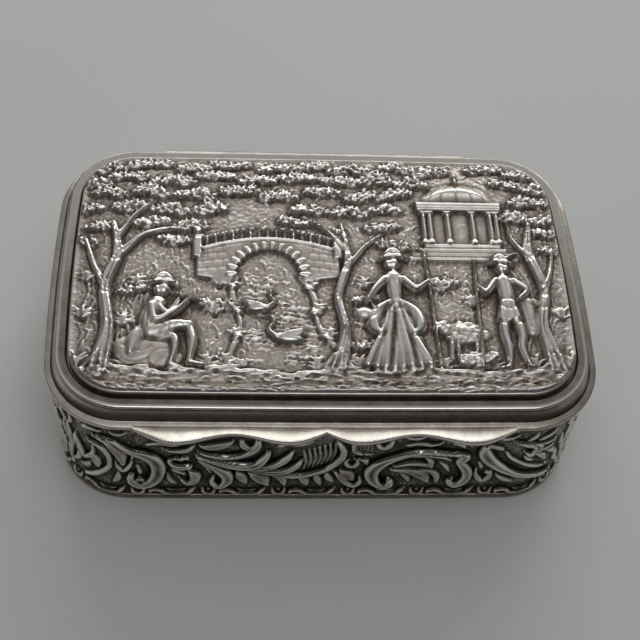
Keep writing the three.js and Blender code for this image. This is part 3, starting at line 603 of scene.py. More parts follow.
# Leaves beside the shell on an end, on one side of it: points, half widths and height
END_LEAVES = (
    ([(2.6, 8.6), (4.6, 11.0), (5.6, 14.0), (5.0, 17.0)], [0.15, 0.55, 0.6, 0.12], 0.62),
    ([(3.2, 7.4), (5.4, 8.4), (6.6, 10.6), (6.4, 12.8)], [0.15, 0.5, 0.45, 0.12], 0.58),
    ([(3.9, 5.2), (5.2, 6.4), (6.0, 7.8)], [0.15, 0.4, 0.12], 0.5),
    ([(2.2, 20.9), (3.6, 20.0), (4.6, 18.6)], [0.12, 0.4, 0.15], 0.48),
    ([(7.0, 15.8), (8.4, 16.6), (10.2, 16.4)], [0.12, 0.42, 0.12], 0.5),
    ([(9.6, 20.9), (10.8, 19.9), (12.2, 20.4)], [0.12, 0.4, 0.12], 0.45),
)
END_HOOK = ((6.0, 21.0), (5.4, 19.4), (6.6, 17.9), (8.4, 17.9), (9.3, 19.2), (8.2, 20.2))


def chaser(sheet, shift, flip=False, fullness=SCROLL_FULLNESS):
    """Strokes drawn about the middle of a side, moved along the wall and mirrored if asked."""
    def stroke(points, widths, height=SCROLL_HEIGHT, profile="gutter"):
        placed = [(shift + (-s if flip else s), z) for s, z in points]
        widths = fullness * np.asarray(widths)
        sheet.stroke(placed, widths, SCROLL_DEPTH * height, profile, groove=SCROLL_GROOVE)

    return stroke


def left_scrolls(stroke):
    """Corner group: leaves that fall into a large C-scroll."""
    stroke([(-41.5, 15.2), (-40.8, 12.6), (-39.9, 10.4), (-38.6, 11.3), (-37.8, 13), (-37.7, 15)],
           [0.3, 0.5, 0.4, 0.35, 0.3, 0.15])
    stroke([(-37.6, 12.2), (-37.5, 10.4), (-37.0, 8.2)], [0.15, 0.75, 0.1], 0.5, "leaf")
    stroke([(-38.6, 17.0), (-36.5, 16.2), (-35.3, 14.8), (-34.7, 12.5), (-34.9, 10.0), (-36.1, 8.0),
            (-38.1, 5.9), (-40.2, 4.6)], [0.15, 0.4, 0.42, 0.38, 0.38, 0.36, 0.34, 0.15])
    stroke([(-37.3, 19.0), (-35.2, 18.0), (-33.9, 16.0), (-32.8, 14.0), (-32.4, 11.2)],
           [0.15, 0.4, 0.6, 0.8, 0.4], 0.6, "leaf")
    stroke([(-33.7, 12.4), (-33.5, 10.6), (-32.5, 9.2), (-31.3, 10.6), (-30.7, 13.4)],
           [0.12, 0.3, 0.34, 0.3, 0.12])
    stroke([(-36.4, 19.3), (-34.1, 18.9), (-32.6, 17.2), (-31.0, 15.5), (-28.7, 14.2), (-27.1, 12.2),
            (-26.7, 9.6), (-27.3, 6.8), (-28.8, 4.9), (-30.4, 4.9), (-31.4, 6.2), (-31.2, 7.8)],
           [0.15, 0.3, 0.35, 0.5, 0.75, 0.85, 0.85, 0.75, 0.6, 0.55, 0.5, 0.35], 0.7)
    stroke([(-29.0, 5.6), (-29.9, 6.5), (-30.6, 5.9)], [0.25, 0.35, 0.3], 0.55)
    stroke([(-30.1, 10.4), (-29.7, 8.4)], [0.15, 0.3], 0.4, "round")
    stroke([(-34.0, 21.2), (-32.6, 20.7), (-31.2, 21.3)], [0.15, 0.4, 0.15], 0.4, "leaf")
    stroke([(-39.2, 20.4), (-37.6, 21.1), (-35.6, 20.8)], [0.15, 0.45, 0.15], 0.45, "leaf")
    stroke([(-33.4, 8.2), (-33.6, 6.4), (-34.6, 4.9)], [0.15, 0.45, 0.12], 0.45, "leaf")
    stroke([(-38.8, 8.8), (-39.6, 7.4), (-41.4, 6.8)], [0.15, 0.45, 0.12], 0.45, "leaf")


def small_shell(stroke):
    """Little shell frame with a pointed leaf under it."""
    stroke([(-21.8, 10.5), (-23.4, 10.4), (-24.7, 11.4), (-24.8, 12.6), (-23.7, 13.2)],
           [0.5, 0.5, 0.3, 0.25, 0.2])
    stroke([(-23.7, 13.4), (-22.9, 12.8), (-22.3, 13.5), (-21.7, 12.7)], [0.2, 0.35, 0.3, 0.15], 0.5, "round")
    stroke([(-21.7, 9.4), (-20.8, 7.8), (-20.9, 6.0), (-22.2, 5.4), (-23.6, 7.1)],
           [0.2, 0.7, 0.6, 0.4, 0.12], 0.65, "leaf")
    stroke([(-24.2, 9.5), (-22.4, 8.1)], [0.3, 0.15], 0.5, "round")
    stroke([(-25.3, 8.4), (-25.0, 6.2), (-24.0, 4.9)], [0.15, 0.35, 0.15], 0.45, "leaf")
    stroke([(-25.9, 16.2), (-24.0, 15.6), (-21.9, 16.0), (-20.6, 17.6)], [0.12, 0.35, 0.45, 0.15], 0.55)
    stroke([(-28.4, 17.4), (-26.2, 18.2), (-24.0, 17.6), (-22.0, 18.2)], [0.15, 0.45, 0.4, 0.15], 0.5, "leaf")


def branch(stroke):
    """Acanthus branch that sweeps under an oval opening, with leaves hanging from it."""
    stroke([(-20.4, 13.9), (-19.1, 11.8), (-17.2, 10.0), (-15.8, 8.4), (-15.4, 6.6), (-16.2, 4.8),
            (-17.2, 4.5), (-18.0, 5.8), (-17.6, 7.6)],
           [0.25, 0.35, 0.55, 0.75, 0.7, 0.45, 0.4, 0.35, 0.12], 0.68)
    stroke([(-20.3, 12.5), (-18.9, 10.4), (-18.1, 8.4)], [0.12, 0.3, 0.12], 0.45, "round")
    stroke([(-20.1, 15.5), (-18.8, 14.5), (-16.8, 13.9), (-14.7, 13.9), (-12.7, 14.6), (-11.2, 16.1),
            (-10.6, 17.8), (-10.5, 19.3)], [0.2, 0.32, 0.4, 0.42, 0.42, 0.45, 0.5, 0.3], 0.66)
    stroke([(-19.9, 17.6), (-18.4, 17.1), (-16.7, 17.4), (-15.2, 18.4), (-14.5, 19.4)],
           [0.15, 0.7, 0.8, 0.5, 0.12], 0.6, "leaf")
    stroke([(-13.2, 19.3), (-12.9, 17.6), (-12.0, 16.7), (-11.4, 17.5)], [0.25, 0.45, 0.45, 0.12], 0.5)
    stroke([(-11.7, 9.9), (-8.8, 8.5), (-6.2, 7.8), (-3.3, 7.8), (-1.0, 8.7), (1.0, 10.0), (2.3, 11.8),
            (3.2, 13.7), (3.4, 15.5), (2.8, 17.5), (2.1, 19.0)],
           [0.2, 0.32, 0.38, 0.4, 0.4, 0.4, 0.42, 0.45, 0.45, 0.35, 0.15], 0.64)
    stroke([(-13.0, 10.5), (-10.3, 9.4), (-7.4, 9.0), (-5.3, 9.8), (-3.8, 11.4), (-3.2, 13.1)],
           [0.3, 0.45, 0.5, 0.5, 0.4, 0.1], 0.66)
    stroke([(-13.6, 11.0), (-11.1, 10.4), (-8.6, 10.8), (-6.8, 12.1), (-5.5, 13.9), (-4.7, 15.8)],
           [0.3, 0.45, 0.5, 0.5, 0.4, 0.1], 0.7)
    stroke([(-20.4, 14.4), (-18.7, 13.0), (-16.5, 11.9), (-14.2, 11.1), (-12.4, 10.9), (-10.7, 11.5),
            (-9.5, 13.1), (-8.8, 15.0), (-9.0, 16.0)],
           [0.22, 0.35, 0.5, 0.6, 0.65, 0.6, 0.5, 0.35, 0.1], 0.74)
    stroke([(-13.8, 9.0), (-13.1, 7.2), (-12.1, 5.2)], [0.2, 0.7, 0.12], 0.58, "leaf")
    stroke([(-11.8, 8.8), (-10.0, 7.0), (-8.6, 4.9)], [0.25, 0.95, 0.2], 0.66, "leaf")
    stroke([(-7.8, 7.7), (-6.3, 6.6), (-5.8, 4.6)], [0.2, 0.48, 0.2], 0.52)
    stroke([(-3.4, 7.5), (-2.6, 6.2), (-1.9, 4.6)], [0.2, 0.6, 0.12], 0.55, "leaf")
    stroke([(-0.8, 8.2), (-0.4, 6.5), (0.3, 4.6)], [0.15, 0.5, 0.15], 0.5, "leaf")
    stroke([(1.0, 8.6), (1.4, 7.0), (2.4, 5.6)], [0.15, 0.5, 0.12], 0.5, "leaf")
    for share in np.linspace(0, 1, 7):
        top = (1.9 - 5.0 * share, 18.4 - 2.8 * share)
        foot = (1.4 - 4.2 * share, 12.0 - 2.6 * share)
        bend = ((top[0] + foot[0]) / 2 + 0.35, (top[1] + foot[1]) / 2)
        stroke([top, bend, foot], [0.12, 0.26, 0.1], 0.3, "round")
    stroke([(-7.4, 17.0), (-5.8, 18.2), (-3.6, 18.0), (-1.6, 19.2)], [0.12, 0.4, 0.4, 0.12], 0.5, "leaf")
    stroke([(-8.2, 19.8), (-6.2, 20.6), (-4.0, 20.2)], [0.12, 0.45, 0.12], 0.45, "leaf")


def hatched_cup(stroke):
    """Small ring and cup with crossed hatching."""
    ring = [(5.0 + 1.0 * math.cos(a), 11.9 + 1.25 * math.sin(a)) for a in np.linspace(2.2, 7.6, 10)]
    stroke(ring, [0.15, 0.3, 0.35, 0.3, 0.12], 0.5)
    stroke([(4.9, 18.2), (5.1, 15.6), (6.4, 14.8), (8.2, 14.6)], [0.35, 0.3, 0.25, 0.12], 0.5)
    for k in range(5):
        stroke([(5.7 + 0.55 * k, 18.3), (5.5 + 0.6 * k, 15.4)], [0.12], 0.25, "round")
        stroke([(5.4, 17.8 - 0.55 * k), (8.3, 17.6 - 0.6 * k)], [0.1], 0.2, "round")
    stroke([(2.3, 9.0), (3.6, 7.0), (5.0, 5.0), (6.1, 4.7), (6.8, 5.8), (6.6, 7.4)],
           [0.2, 0.45, 0.4, 0.36, 0.3, 0.12], 0.55)
    stroke([(3.4, 9.4), (4.6, 8.0), (5.6, 6.2)], [0.3, 0.75, 0.2], 0.5, "leaf")
    stroke([(8.7, 18.6), (9.0, 17.2), (10.0, 16.9), (10.8, 17.8), (11.1, 19.2)],
           [0.15, 0.34, 0.38, 0.36, 0.15], 0.5)
    stroke([(6.0, 13.2), (7.2, 12.4), (7.6, 11.0)], [0.15, 0.45, 0.12], 0.5, "leaf")


def great_scroll(stroke):
    """Large C-scroll with its long upper arm, the S-scroll that meets it and the leaf inside."""
    stroke([(13.3, 13.6), (15.0, 14.0), (16.8, 14.0), (19.6, 13.5), (21.6, 12.2)],
           [0.1, 0.22, 0.25, 0.22, 0.1], 0.4, "round")
    stroke([(12.2, 10.7), (14.6, 11.5), (17.0, 11.3), (18.3, 10.3)], [0.3, 0.45, 0.45, 0.15], 0.55, "leaf")
    stroke([(16.9, 13.6), (18.1, 12.0), (18.5, 10.0)], [0.15, 0.4, 0.2], 0.5, "leaf")
    stroke([(16.6, 9.8), (18.6, 8.9), (19.7, 7.1), (19.7, 5.2)], [0.2, 0.45, 0.45, 0.15], 0.55, "leaf")
    stroke([(11.9, 9.8), (14.8, 9.3), (17.0, 7.9), (18.5, 5.6)], [0.35, 0.65, 0.85, 0.15], 0.64, "leaf")
    stroke([(13.3, 8.6), (14.5, 7.2), (15.2, 5.4)], [0.15, 0.42, 0.12], 0.48, "leaf")
    stroke([(19.5, 12.0), (20.8, 10.3), (21.7, 8.5)], [0.12, 0.32, 0.12], 0.45, "leaf")
    stroke([(22.0, 15.2), (23.5, 13.9), (22.9, 12.2), (23.8, 10.6), (24.6, 8.8), (24.6, 6.8), (23.7, 5.2),
            (22.6, 5.0), (21.9, 6.0), (22.3, 7.0)],
           [0.3, 0.65, 0.5, 0.6, 0.65, 0.58, 0.5, 0.45, 0.4, 0.2], 0.68)
    stroke([(22.4, 14.6), (19.7, 15.3), (16.8, 15.7), (14.3, 15.1), (12.3, 14.0), (10.4, 12.5), (9.0, 10.6),
            (8.5, 8.6), (9.0, 6.5), (10.0, 5.0), (11.0, 4.6), (11.9, 5.4), (11.5, 6.6)],
           [0.3, 0.42, 0.42, 0.45, 0.5, 0.65, 0.8, 0.85, 0.7, 0.5, 0.5, 0.5, 0.3], 0.74)
    stroke([(13.2, 17.4), (15.4, 18.4), (17.4, 17.8), (19.4, 18.6)], [0.12, 0.42, 0.4, 0.12], 0.5, "leaf")
    stroke([(12.4, 20.6), (14.6, 20.0), (16.6, 20.8)], [0.12, 0.42, 0.12], 0.45, "leaf")
    stroke([(20.8, 18.3), (22.2, 17.9), (23.2, 16.6)], [0.12, 0.4, 0.15], 0.5, "leaf")
    stroke([(18.6, 20.8), (20.6, 20.2), (22.6, 20.6)], [0.12, 0.4, 0.12], 0.42, "leaf")


def heart(stroke):
    """Little heart with a bud over it."""
    stroke([(26.0, 9.6), (26.3, 7.6), (27.5, 6.0), (28.6, 7.2), (28.3, 9.0), (27.6, 8.2)],
           [0.15, 0.34, 0.38, 0.38, 0.3, 0.12], 0.5)
    stroke([(26.2, 11.8), (26.8, 10.2)], [0.2, 0.25], 0.4, "round")


def right_scrolls(stroke):
    """Corner group: a broad band that frames a curled leaf."""
    stroke([(30.1, 15.1), (31.1, 13.4), (32.8, 11.9), (35.0, 10.2), (37.3, 8.9), (39.6, 8.3)],
           [0.15, 0.26, 0.28, 0.28, 0.25, 0.12], 0.5)
    stroke([(26.4, 17.2), (26.6, 15.2), (27.4, 13.4), (28.8, 11.5), (30.7, 9.7), (33.0, 8.2), (35.4, 7.1),
            (38.4, 5.9), (41.0, 5.6)], [0.3, 0.75, 0.8, 0.7, 0.6, 0.5, 0.45, 0.4, 0.15], 0.72)
    stroke([(27.0, 17.4), (28.6, 16.6), (29.6, 15.8)], [0.45, 0.4, 0.15], 0.5, "leaf")
    stroke([(30.7, 18.9), (33.0, 17.9), (34.9, 17.2), (35.7, 15.6), (34.5, 14.3), (33.2, 15.3)],
           [0.15, 0.4, 0.55, 0.6, 0.45, 0.15], 0.68)
    stroke([(35.2, 17.6), (37.0, 16.6), (39.4, 16.9)], [0.2, 0.45, 0.12], 0.5, "leaf")
    stroke([(35.4, 15.2), (37.4, 14.6), (39.8, 15.0)], [0.2, 0.45, 0.12], 0.5, "leaf")
    stroke([(35.2, 18.4), (36.8, 19.4), (38.4, 20.8)], [0.15, 0.4, 0.12], 0.48, "leaf")
    stroke([(33.0, 18.6), (34.2, 19.8), (34.6, 21.2)], [0.15, 0.35, 0.12], 0.42, "leaf")
    stroke([(35.6, 13.9), (37.4, 12.4), (38.5, 10.2)], [0.2, 0.55, 0.15], 0.58, "leaf")
    stroke([(37.8, 13.7), (39.6, 12.4), (41.0, 10.2)], [0.15, 0.5, 0.12], 0.52, "leaf")
    stroke([(33.6, 13.4), (34.6, 12.2), (36.0, 11.4)], [0.15, 0.35, 0.1], 0.42, "leaf")
    stroke([(27.6, 20.2), (29.4, 19.6), (31.4, 20.8)], [0.12, 0.42, 0.12], 0.42, "leaf")
    stroke([(29.6, 7.8), (31.0, 6.4), (33.0, 5.4)], [0.12, 0.42, 0.12], 0.46, "leaf")


def corner_leaf(stroke):
    """Upright leaf that stands between two groups."""
    stroke([(0, 4.8), (-0.3, 9.0), (0.5, 13.0), (-0.3, 18.0)], [0.2, 0.5, 0.5, 0.12], 0.66, "leaf")
    for side in (1, -1):
        stroke([(0.3 * side, 6.4), (1.7 * side, 8.4), (1.9 * side, 11.2)], [0.2, 0.45, 0.12], 0.58, "leaf")
        stroke([(0.3 * side, 11.4), (1.5 * side, 13.4), (1.8 * side, 16.2)], [0.2, 0.4, 0.12], 0.55, "leaf")
        stroke([(0.2 * side, 17.6), (1.3 * side, 19.4), (1.2 * side, 21.2)], [0.2, 0.36, 0.12], 0.48, "leaf")


def end_shell(sheet, middle):
    """Fan of ribs in the middle of an end, over two small scrolls and between tall leaves."""
    stroke = chaser(sheet, middle)
    for degrees in np.linspace(-66, 66, 9):
        lean = math.radians(degrees)
        reach = 10.6 - 2.8 * abs(math.sin(lean))
        tip = (reach * math.sin(lean) * 0.6, 8.6 + reach * math.cos(lean))
        bend = (0.55 * tip[0] + 0.2 * math.sin(lean), 8.6 + 0.5 * (tip[1] - 8.6))
        stroke([(0.4 * math.sin(lean), 8.8), bend, tip], [0.14, 0.36, 0.52], 0.66, "round")
    stroke([(-1.6, 8.2), (0, 7.4), (1.6, 8.2)], [0.3, 0.5, 0.3], 0.6)
    for side in (1, -1):
        curl = spiral((2.0 * side, 6.0), 1.5, 0.5, 90, -0.8 * side)
        stroke(curl, [0.4, 0.4, 0.3, 0.2], 0.6)
        for points, widths, height in END_LEAVES:
            stroke([(side * along, z) for along, z in points], widths, height, "leaf")
        stroke([(side * along, z) for along, z in END_HOOK], [0.15, 0.4, 0.45, 0.42, 0.36, 0.15], 0.6)
    sheet.blob((middle, 5.6), (0.6, 0.8), 0.5, groove=0.1)


def border(sheet):
    """Lower border: a drawn-out bracket and a cupped bead, over and over."""
    pitch = PERIMETER / BORDER_UNITS
    for k in range(-BORDER_UNITS // 2 - 1, BORDER_UNITS // 2 + 2):
        shift = k * pitch - BORDER_SHIFT
        stroke = chaser(sheet, shift, fullness=BORDER_FULLNESS)
        stroke([(-1.05, 3.6), (-0.85, 2.5), (0, 1.95), (0.85, 2.5), (1.05, 3.6)],
               [0.12, 0.3, 0.4, 0.3, 0.12], 0.5)
        sheet.blob((shift, 3.2), (0.36, 0.36), 0.4)
        stroke([(1.9, 1.9), (2.1, 2.8), (3.0, 3.2), (3.9, 2.7), (4.6, 2.1), (6.4, 2.0), (8.3, 2.2),
                (9.0, 3.0), (9.6, 4.0)], [0.15, 0.3, 0.34, 0.32, 0.3, 0.26, 0.3, 0.3, 0.12], 0.5)
        stroke([(4.8, 3.1), (6.4, 2.95), (8.0, 3.1)], [0.1, 0.2, 0.1], 0.32, "round")


def chase_wall():
    """The whole wall as one sheet, from the middle of the back all the way round."""
    half = PERIMETER / 2
    sheet = Sheet((-half, WALL_BOTTOM), (half, WALL_TOP), PERIMETER / WALL_CELLS)
    border(sheet)
    for shift, flip in ((0, False), (half, True), (-half, True)):
        stroke = chaser(sheet, shift, flip)
        for group in (left_scrolls, small_shell, branch, hatched_cup, great_scroll, heart, right_scrolls):
            group(stroke)
    for side in (1, -1):
        middle = side * PERIMETER / 4
        end_shell(sheet, middle)
        for turn in (1, -1):
            great_scroll(chaser(sheet, middle - turn * END_SCROLL_SHIFT, turn < 0))
            corner_leaf(chaser(sheet, middle + turn * CORNER_LEAF_SHIFT, turn < 0))
    sheet.height = soften(sheet.height, 1, wrap=True)
    sheet.punch(np.random.default_rng(WALL_SEED), *WALL_PUNCH)
    return sheet


def halve(field):
    """Means of blocks of two cells by two. The last row and the last column are left out."""
    return field[:-1, :-1].reshape(field.shape[0] // 2, 2, -1, 2).mean((1, 3))


def wall_heights(share, top):
    """Heights of the wall's rows by share of the full height, pressed down where the top is lowered."""
    height = WALL_BOTTOM + (WALL_TOP - WALL_BOTTOM) * share[:, None] * np.ones(len(top))
    pressed = PRESS_ABOVE + (height - PRESS_ABOVE) * (top - PRESS_ABOVE) / (WALL_TOP - PRESS_ABOVE)
    return height, np.where(height > PRESS_ABOVE, pressed, height)


def wall_piece(material):
    """Chased wall: relief outside, plain inside, with its top cut down behind the hinge."""
    sheet = chase_wall()
    relief = halve(sheet.height)
    tone = halve(tone_of(sheet.height, sheet.step, WALL_GROUND_TONE, wrap=True))
    rows, columns = relief.shape
    share = np.linspace(0, 1, rows)
    edge, outward = around(sheet.low[0] + sheet.step * (2 * np.arange(columns) + 0.5))
    at_hinge = (edge[:, 1] > 0) & (np.abs(edge[:, 0]) < SEAT_HALF)
    top = np.where(at_hinge, PIN_Z - SEAT_RADIUS * SEAT_DROP, WALL_TOP)
    full_height, height = wall_heights(share, top)
    # Tone made darker towards the foot of the wall
    tone = tone - LOWER_BORDER_DARKENING * rise(BORDER_TOP - full_height)
    ground = WALL_GROUND_INSET + WALL_GROUND_WAIST * np.sin(math.pi * share)
    fade = rise(share / FOOT_FADE) * rise((1 - share) / TOP_FADE)
    inset = ground[:, None] - relief * fade[:, None]
    outer = edge[None] - outward[None] * inset[..., None]
    points = [np.dstack([outer, height]).reshape(-1, 3)]
    behind = edge - outward * WALL_BACK_INSET
    for level in (top, np.full(columns, WALL_BOTTOM)):
        points.append(np.column_stack([behind, level]))
    faces = loop_faces(rows + 2, columns)
    made = mesh_object("wall_chased", np.vstack(points), faces, RELIEF_SHARP_DEGREES)
    keep_tone(made, np.concatenate([tone.ravel(), np.full(2 * columns, WALL_BACK_TONE)]))
    return dress(made, "case_wall", "case", material)


# Picture on the lid: a park with a bridge, a garden temple, a piper, a shepherdess, a youth and sheep

PICTURE_HALF = (41.0, 24.9)
PICTURE_STEP = 0.1
PICTURE_SEED = 31
REED_SEED = 53
PICTURE_PUNCH = (0.17, 0.25)
GRASS_BLADES = 520
REEDS_TO_A_SIDE = 16
LOOSE_SPRIGS = 90
RIPPLES = 90
BANK_STROKES = 170
# Places of the larger motifs
BRIDGE_AT = (-9.0, -2.2)
STREAM_HEAD = (-9.0, -2.4)
STREAM_FOOT = (-6.0, -19.6)
TEMPLE_AT = (24.0, 1.2)
GROUND_CREST = [
    (-41, -20.6), (-33, -20.0), (-25, -20.9), (-16, -20.2), (-7, -21.2), (2, -20.4), (11, -20.9), (20, -20.2),
    (29, -20.8), (36, -20.0), (41, -20.6),
]
# Pier at an end of the bridge and its cap: inner and outer side, bottom, top and height of the relief
BRIDGE_PIER = ((10.8, 12.6, 3.2, 7.8, 0.95), (10.5, 12.9, 7.6, 8.3, 1.1))
# Trees: the trunk and then its boughs, each by its points and half widths
LEFT_TREE = [
    ([(-35.8, -21.0), (-34.6, -13.0), (-35.4, -5.0), (-33.8, 1.5), (-34.8, 8.5)], [1.9, 1.2, 1.1, 0.95, 0.5]),
    ([(-35.2, -5.6), (-37.4, -0.5), (-39.3, 5.5)], [0.8, 0.55, 0.28]),
    ([(-33.9, 1.0), (-30.6, 5.2), (-26.8, 7.0), (-23.0, 7.4)], [0.8, 0.6, 0.42, 0.2]),
    ([(-34.2, 4.8), (-31.4, 10.0), (-28.0, 13.4)], [0.6, 0.42, 0.22]),
]
MIDDLE_TREE = [
    ([(1.8, -20.6), (3.2, -13.5), (2.4, -6.5), (4.2, 0.5), (3.4, 8.5)], [1.5, 0.95, 0.85, 0.75, 0.42]),
    ([(3.9, -0.8), (7.2, 3.8), (10.6, 6.8)], [0.6, 0.42, 0.22]),
    ([(4.0, 2.8), (1.0, 7.2), (-2.2, 9.6)], [0.55, 0.4, 0.22]),
]
RIGHT_TREE = [
    ([(37.0, -20.6), (35.4, -12.5), (36.8, -4.5), (35.0, 3.0), (35.8, 9.5)], [1.8, 1.15, 1.05, 0.9, 0.5]),
    ([(36.6, -5.4), (38.4, -0.5), (39.4, 4.5)], [0.7, 0.48, 0.25]),
    ([(35.0, 2.0), (32.6, 5.8), (32.0, 10.4)], [0.6, 0.42, 0.22]),
]
# Masses of leaves: place and length
LEAF_CLOUDS = [
    (-36.2, 22.0, 2.6), (-29.4, 23.0, 3.4), (-21.6, 22.3, 2.4), (-15.2, 22.9, 3.2), (-7.4, 22.3, 2.8),
    (-1.0, 23.1, 2.4), (5.8, 22.2, 3.4), (13.4, 22.9, 2.8), (19.8, 22.3, 2.0), (29.6, 22.7, 2.6),
    (35.8, 21.9, 2.4), (-38.9, 18.4, 1.9), (-33.0, 19.3, 2.6), (-25.4, 19.0, 3.2), (-17.6, 19.8, 2.8),
    (-10.8, 18.9, 2.4), (-3.6, 19.7, 3.4), (4.0, 18.8, 2.6), (10.2, 19.8, 2.4), (16.4, 18.9, 2.2),
    (33.0, 18.9, 2.2), (38.8, 18.2, 1.9), (-36.0, 15.6, 2.6), (-29.0, 16.0, 2.4), (-21.6, 15.5, 3.2),
    (-13.8, 16.4, 2.4), (-7.0, 15.6, 2.6), (0.6, 16.2, 2.8), (7.8, 15.4, 2.6), (13.2, 16.2, 1.9),
    (36.6, 14.9, 2.6), (-39.2, 12.2, 1.8), (-32.2, 12.4, 2.6), (-25.6, 12.0, 2.4), (-18.6, 12.6, 1.9),
    (-2.0, 12.4, 2.6), (5.0, 12.2, 2.4), (11.2, 12.6, 2.2), (33.4, 11.8, 1.9), (39.2, 11.4, 1.8),
    (-37.4, 8.6, 1.9), (-28.6, 9.2, 2.4), (-22.2, 8.4, 2.0), (-4.6, 9.6, 1.8), (10.6, 8.6, 2.4),
    (37.8, 8.2, 1.8), (-39.6, 5.4, 1.6), (-24.8, 5.2, 1.8), (11.8, 5.2, 1.6), (39.6, 5.0, 1.5),
    (-30.4, -4.8, 1.8), (-17.4, -7.2, 1.6), (6.8, -6.2, 1.5), (33.0, -6.6, 1.5), (19.6, -3.2, 1.8),
    (6.6, -15.4, 1.5),
]
# Ferns and tufts of grass: place and size
FERNS = [
    (-39.2, -20.6, 3.6), (-31.6, -20.6, 3.0), (-18.6, -20.8, 3.2), (-13.8, -20.6, 2.4),
    (-1.4, -21.0, 3.0), (5.4, -20.8, 3.2), (18.9, -20.6, 2.8), (27.0, -20.8, 2.6), (33.6, -20.6, 3.2),
    (39.6, -20.4, 3.8), (-32.2, -12.6, 2.6), (-17.6, -10.4, 2.6), (24.6, -8.2, 2.8), (33.4, -9.8, 3.0),
    (6.4, -12.6, 2.8), (-38.8, -11.0, 3.0), (39.4, -10.0, 3.0), (19.6, -5.4, 2.6), (-30.4, -4.6, 2.4),
    (6.8, -4.6, 2.4), (-17.0, -4.6, 2.2), (-38.6, -3.6, 2.6),
]


class Pen:
    """Tool that works a sheet in a motif's own measures, placed, sized and mirrored."""

    def __init__(self, sheet, at=(0, 0), size=1.0, way=1):
        self.sheet = sheet
        self.at = np.array(at, float)
        self.size = size
        self.way = way

    def put(self, points):
        """Places on the sheet of points in the motif's measures."""
        return self.at + self.size * np.asarray(points, float) * [self.way, 1]

    def stroke(self, points, widths, height, profile="round", lift=0.0, groove=0.2, edge=FORM_EDGE):
        widths = self.size * np.asarray(widths)
        self.sheet.stroke(self.put(points), widths, height, profile, lift, groove, edge)

    def blob(self, centre, radii, height, turn=0.0, lift=0.0, groove=0.18):
        radii = self.size * np.asarray(radii)
        self.sheet.blob(self.put(centre), radii, height, self.way * turn, lift, groove)

    def plate(self, corners, height, edge=PLATE_EDGE, groove=0.16):
        self.sheet.plate(self.put(corners), height, edge, groove)

    def bar(self, half, low, high, height, edge=0.15, middle=0.0):
        """A plate with level and upright sides."""
        left = middle - half
        right = middle + half
        self.plate([(left, low), (right, low), (right, high), (left, high)], height, edge)

    def line(self, points, depth=0.18, width=0.12):
        self.sheet.line(self.put(points), depth, width)


def grass(pen, rng):
    """Fine leaning blades all over the bare ground."""
    for _ in range(GRASS_BLADES):
        foot = np.array([rng.uniform(-39, 39), rng.uniform(-19.5, 8)])
        lean = rng.uniform(-0.9, 0.9)
        tall = rng.uniform(1.2, 2.8)
        bend = foot + [0.2 * lean * tall, 0.55 * tall]
        tip = foot + [0.75 * lean * tall, 0.9 * tall]
        pen.stroke([foot, bend, tip], [0.08, 0.16, 0.05], rng.uniform(0.2, 0.36), groove=0.1)


def reeds(pen, rng):
    """Long narrow leaves that rise behind the outer trees."""
    for side in (-1, 1):
        for _ in range(REEDS_TO_A_SIDE):
            foot = np.array([side * rng.uniform(29, 40.2), rng.uniform(-19, -6)])
            tall = rng.uniform(4.5, 8.5)
            lean = rng.uniform(-0.35, 0.35)
            bend = foot + [0.3 * lean * tall, 0.55 * tall]
            tip = foot + [lean * tall, tall]
            pen.stroke([foot, bend, tip], [0.12, 0.3, 0.06], rng.uniform(0.35, 0.5), "leaf", groove=0.16)


def leaf_cloud(pen, rng, at, length):
    """Mass of leaves drawn out sideways: a few mounds, each with a fan of leaves round its upper edge."""
    mounds = int(round(1.5 * length))
    for along in rng.permutation(np.linspace(-1, 1, mounds)):
        middle = at + np.array([0.72 * along * length, rng.uniform(-0.7, 0.5) - 0.6 * along * along])
        reach = rng.uniform(0.85, 1.5)
        pen.blob(middle, (1.2 * reach, 0.72 * reach), 0.7, rng.uniform(-15, 15), groove=0.3)
        for degrees in np.linspace(-15, 195, 8):
            lean = math.radians(degrees + rng.uniform(-10, 10))
            leaf = middle + reach * np.array([1.15 * math.cos(lean), 0.72 * math.sin(lean)])
            pen.blob(leaf, (0.6, 0.27), rng.uniform(0.35, 0.5), math.degrees(lean), 0.4, 0.18)
        for _ in range(4):
            leaf = middle + reach * rng.uniform([-0.8, -0.35], [0.8, 0.3])
            pen.blob(leaf, (0.5, 0.26), 0.3, rng.uniform(40, 140), 0.68, 0.16)


def foliage(pen, rng):
    """All the masses of leaves, from the back to the front, with loose sprigs between them."""
    for _ in range(LOOSE_SPRIGS):
        sprig = rng.uniform([-39, 6], [39, 23.5])
        pen.blob(sprig, (0.7, 0.26), 0.3, rng.uniform(-60, 60), groove=0.12)
    for u, v, length in LEAF_CLOUDS:
        leaf_cloud(pen, rng, np.array([u, v]), length)


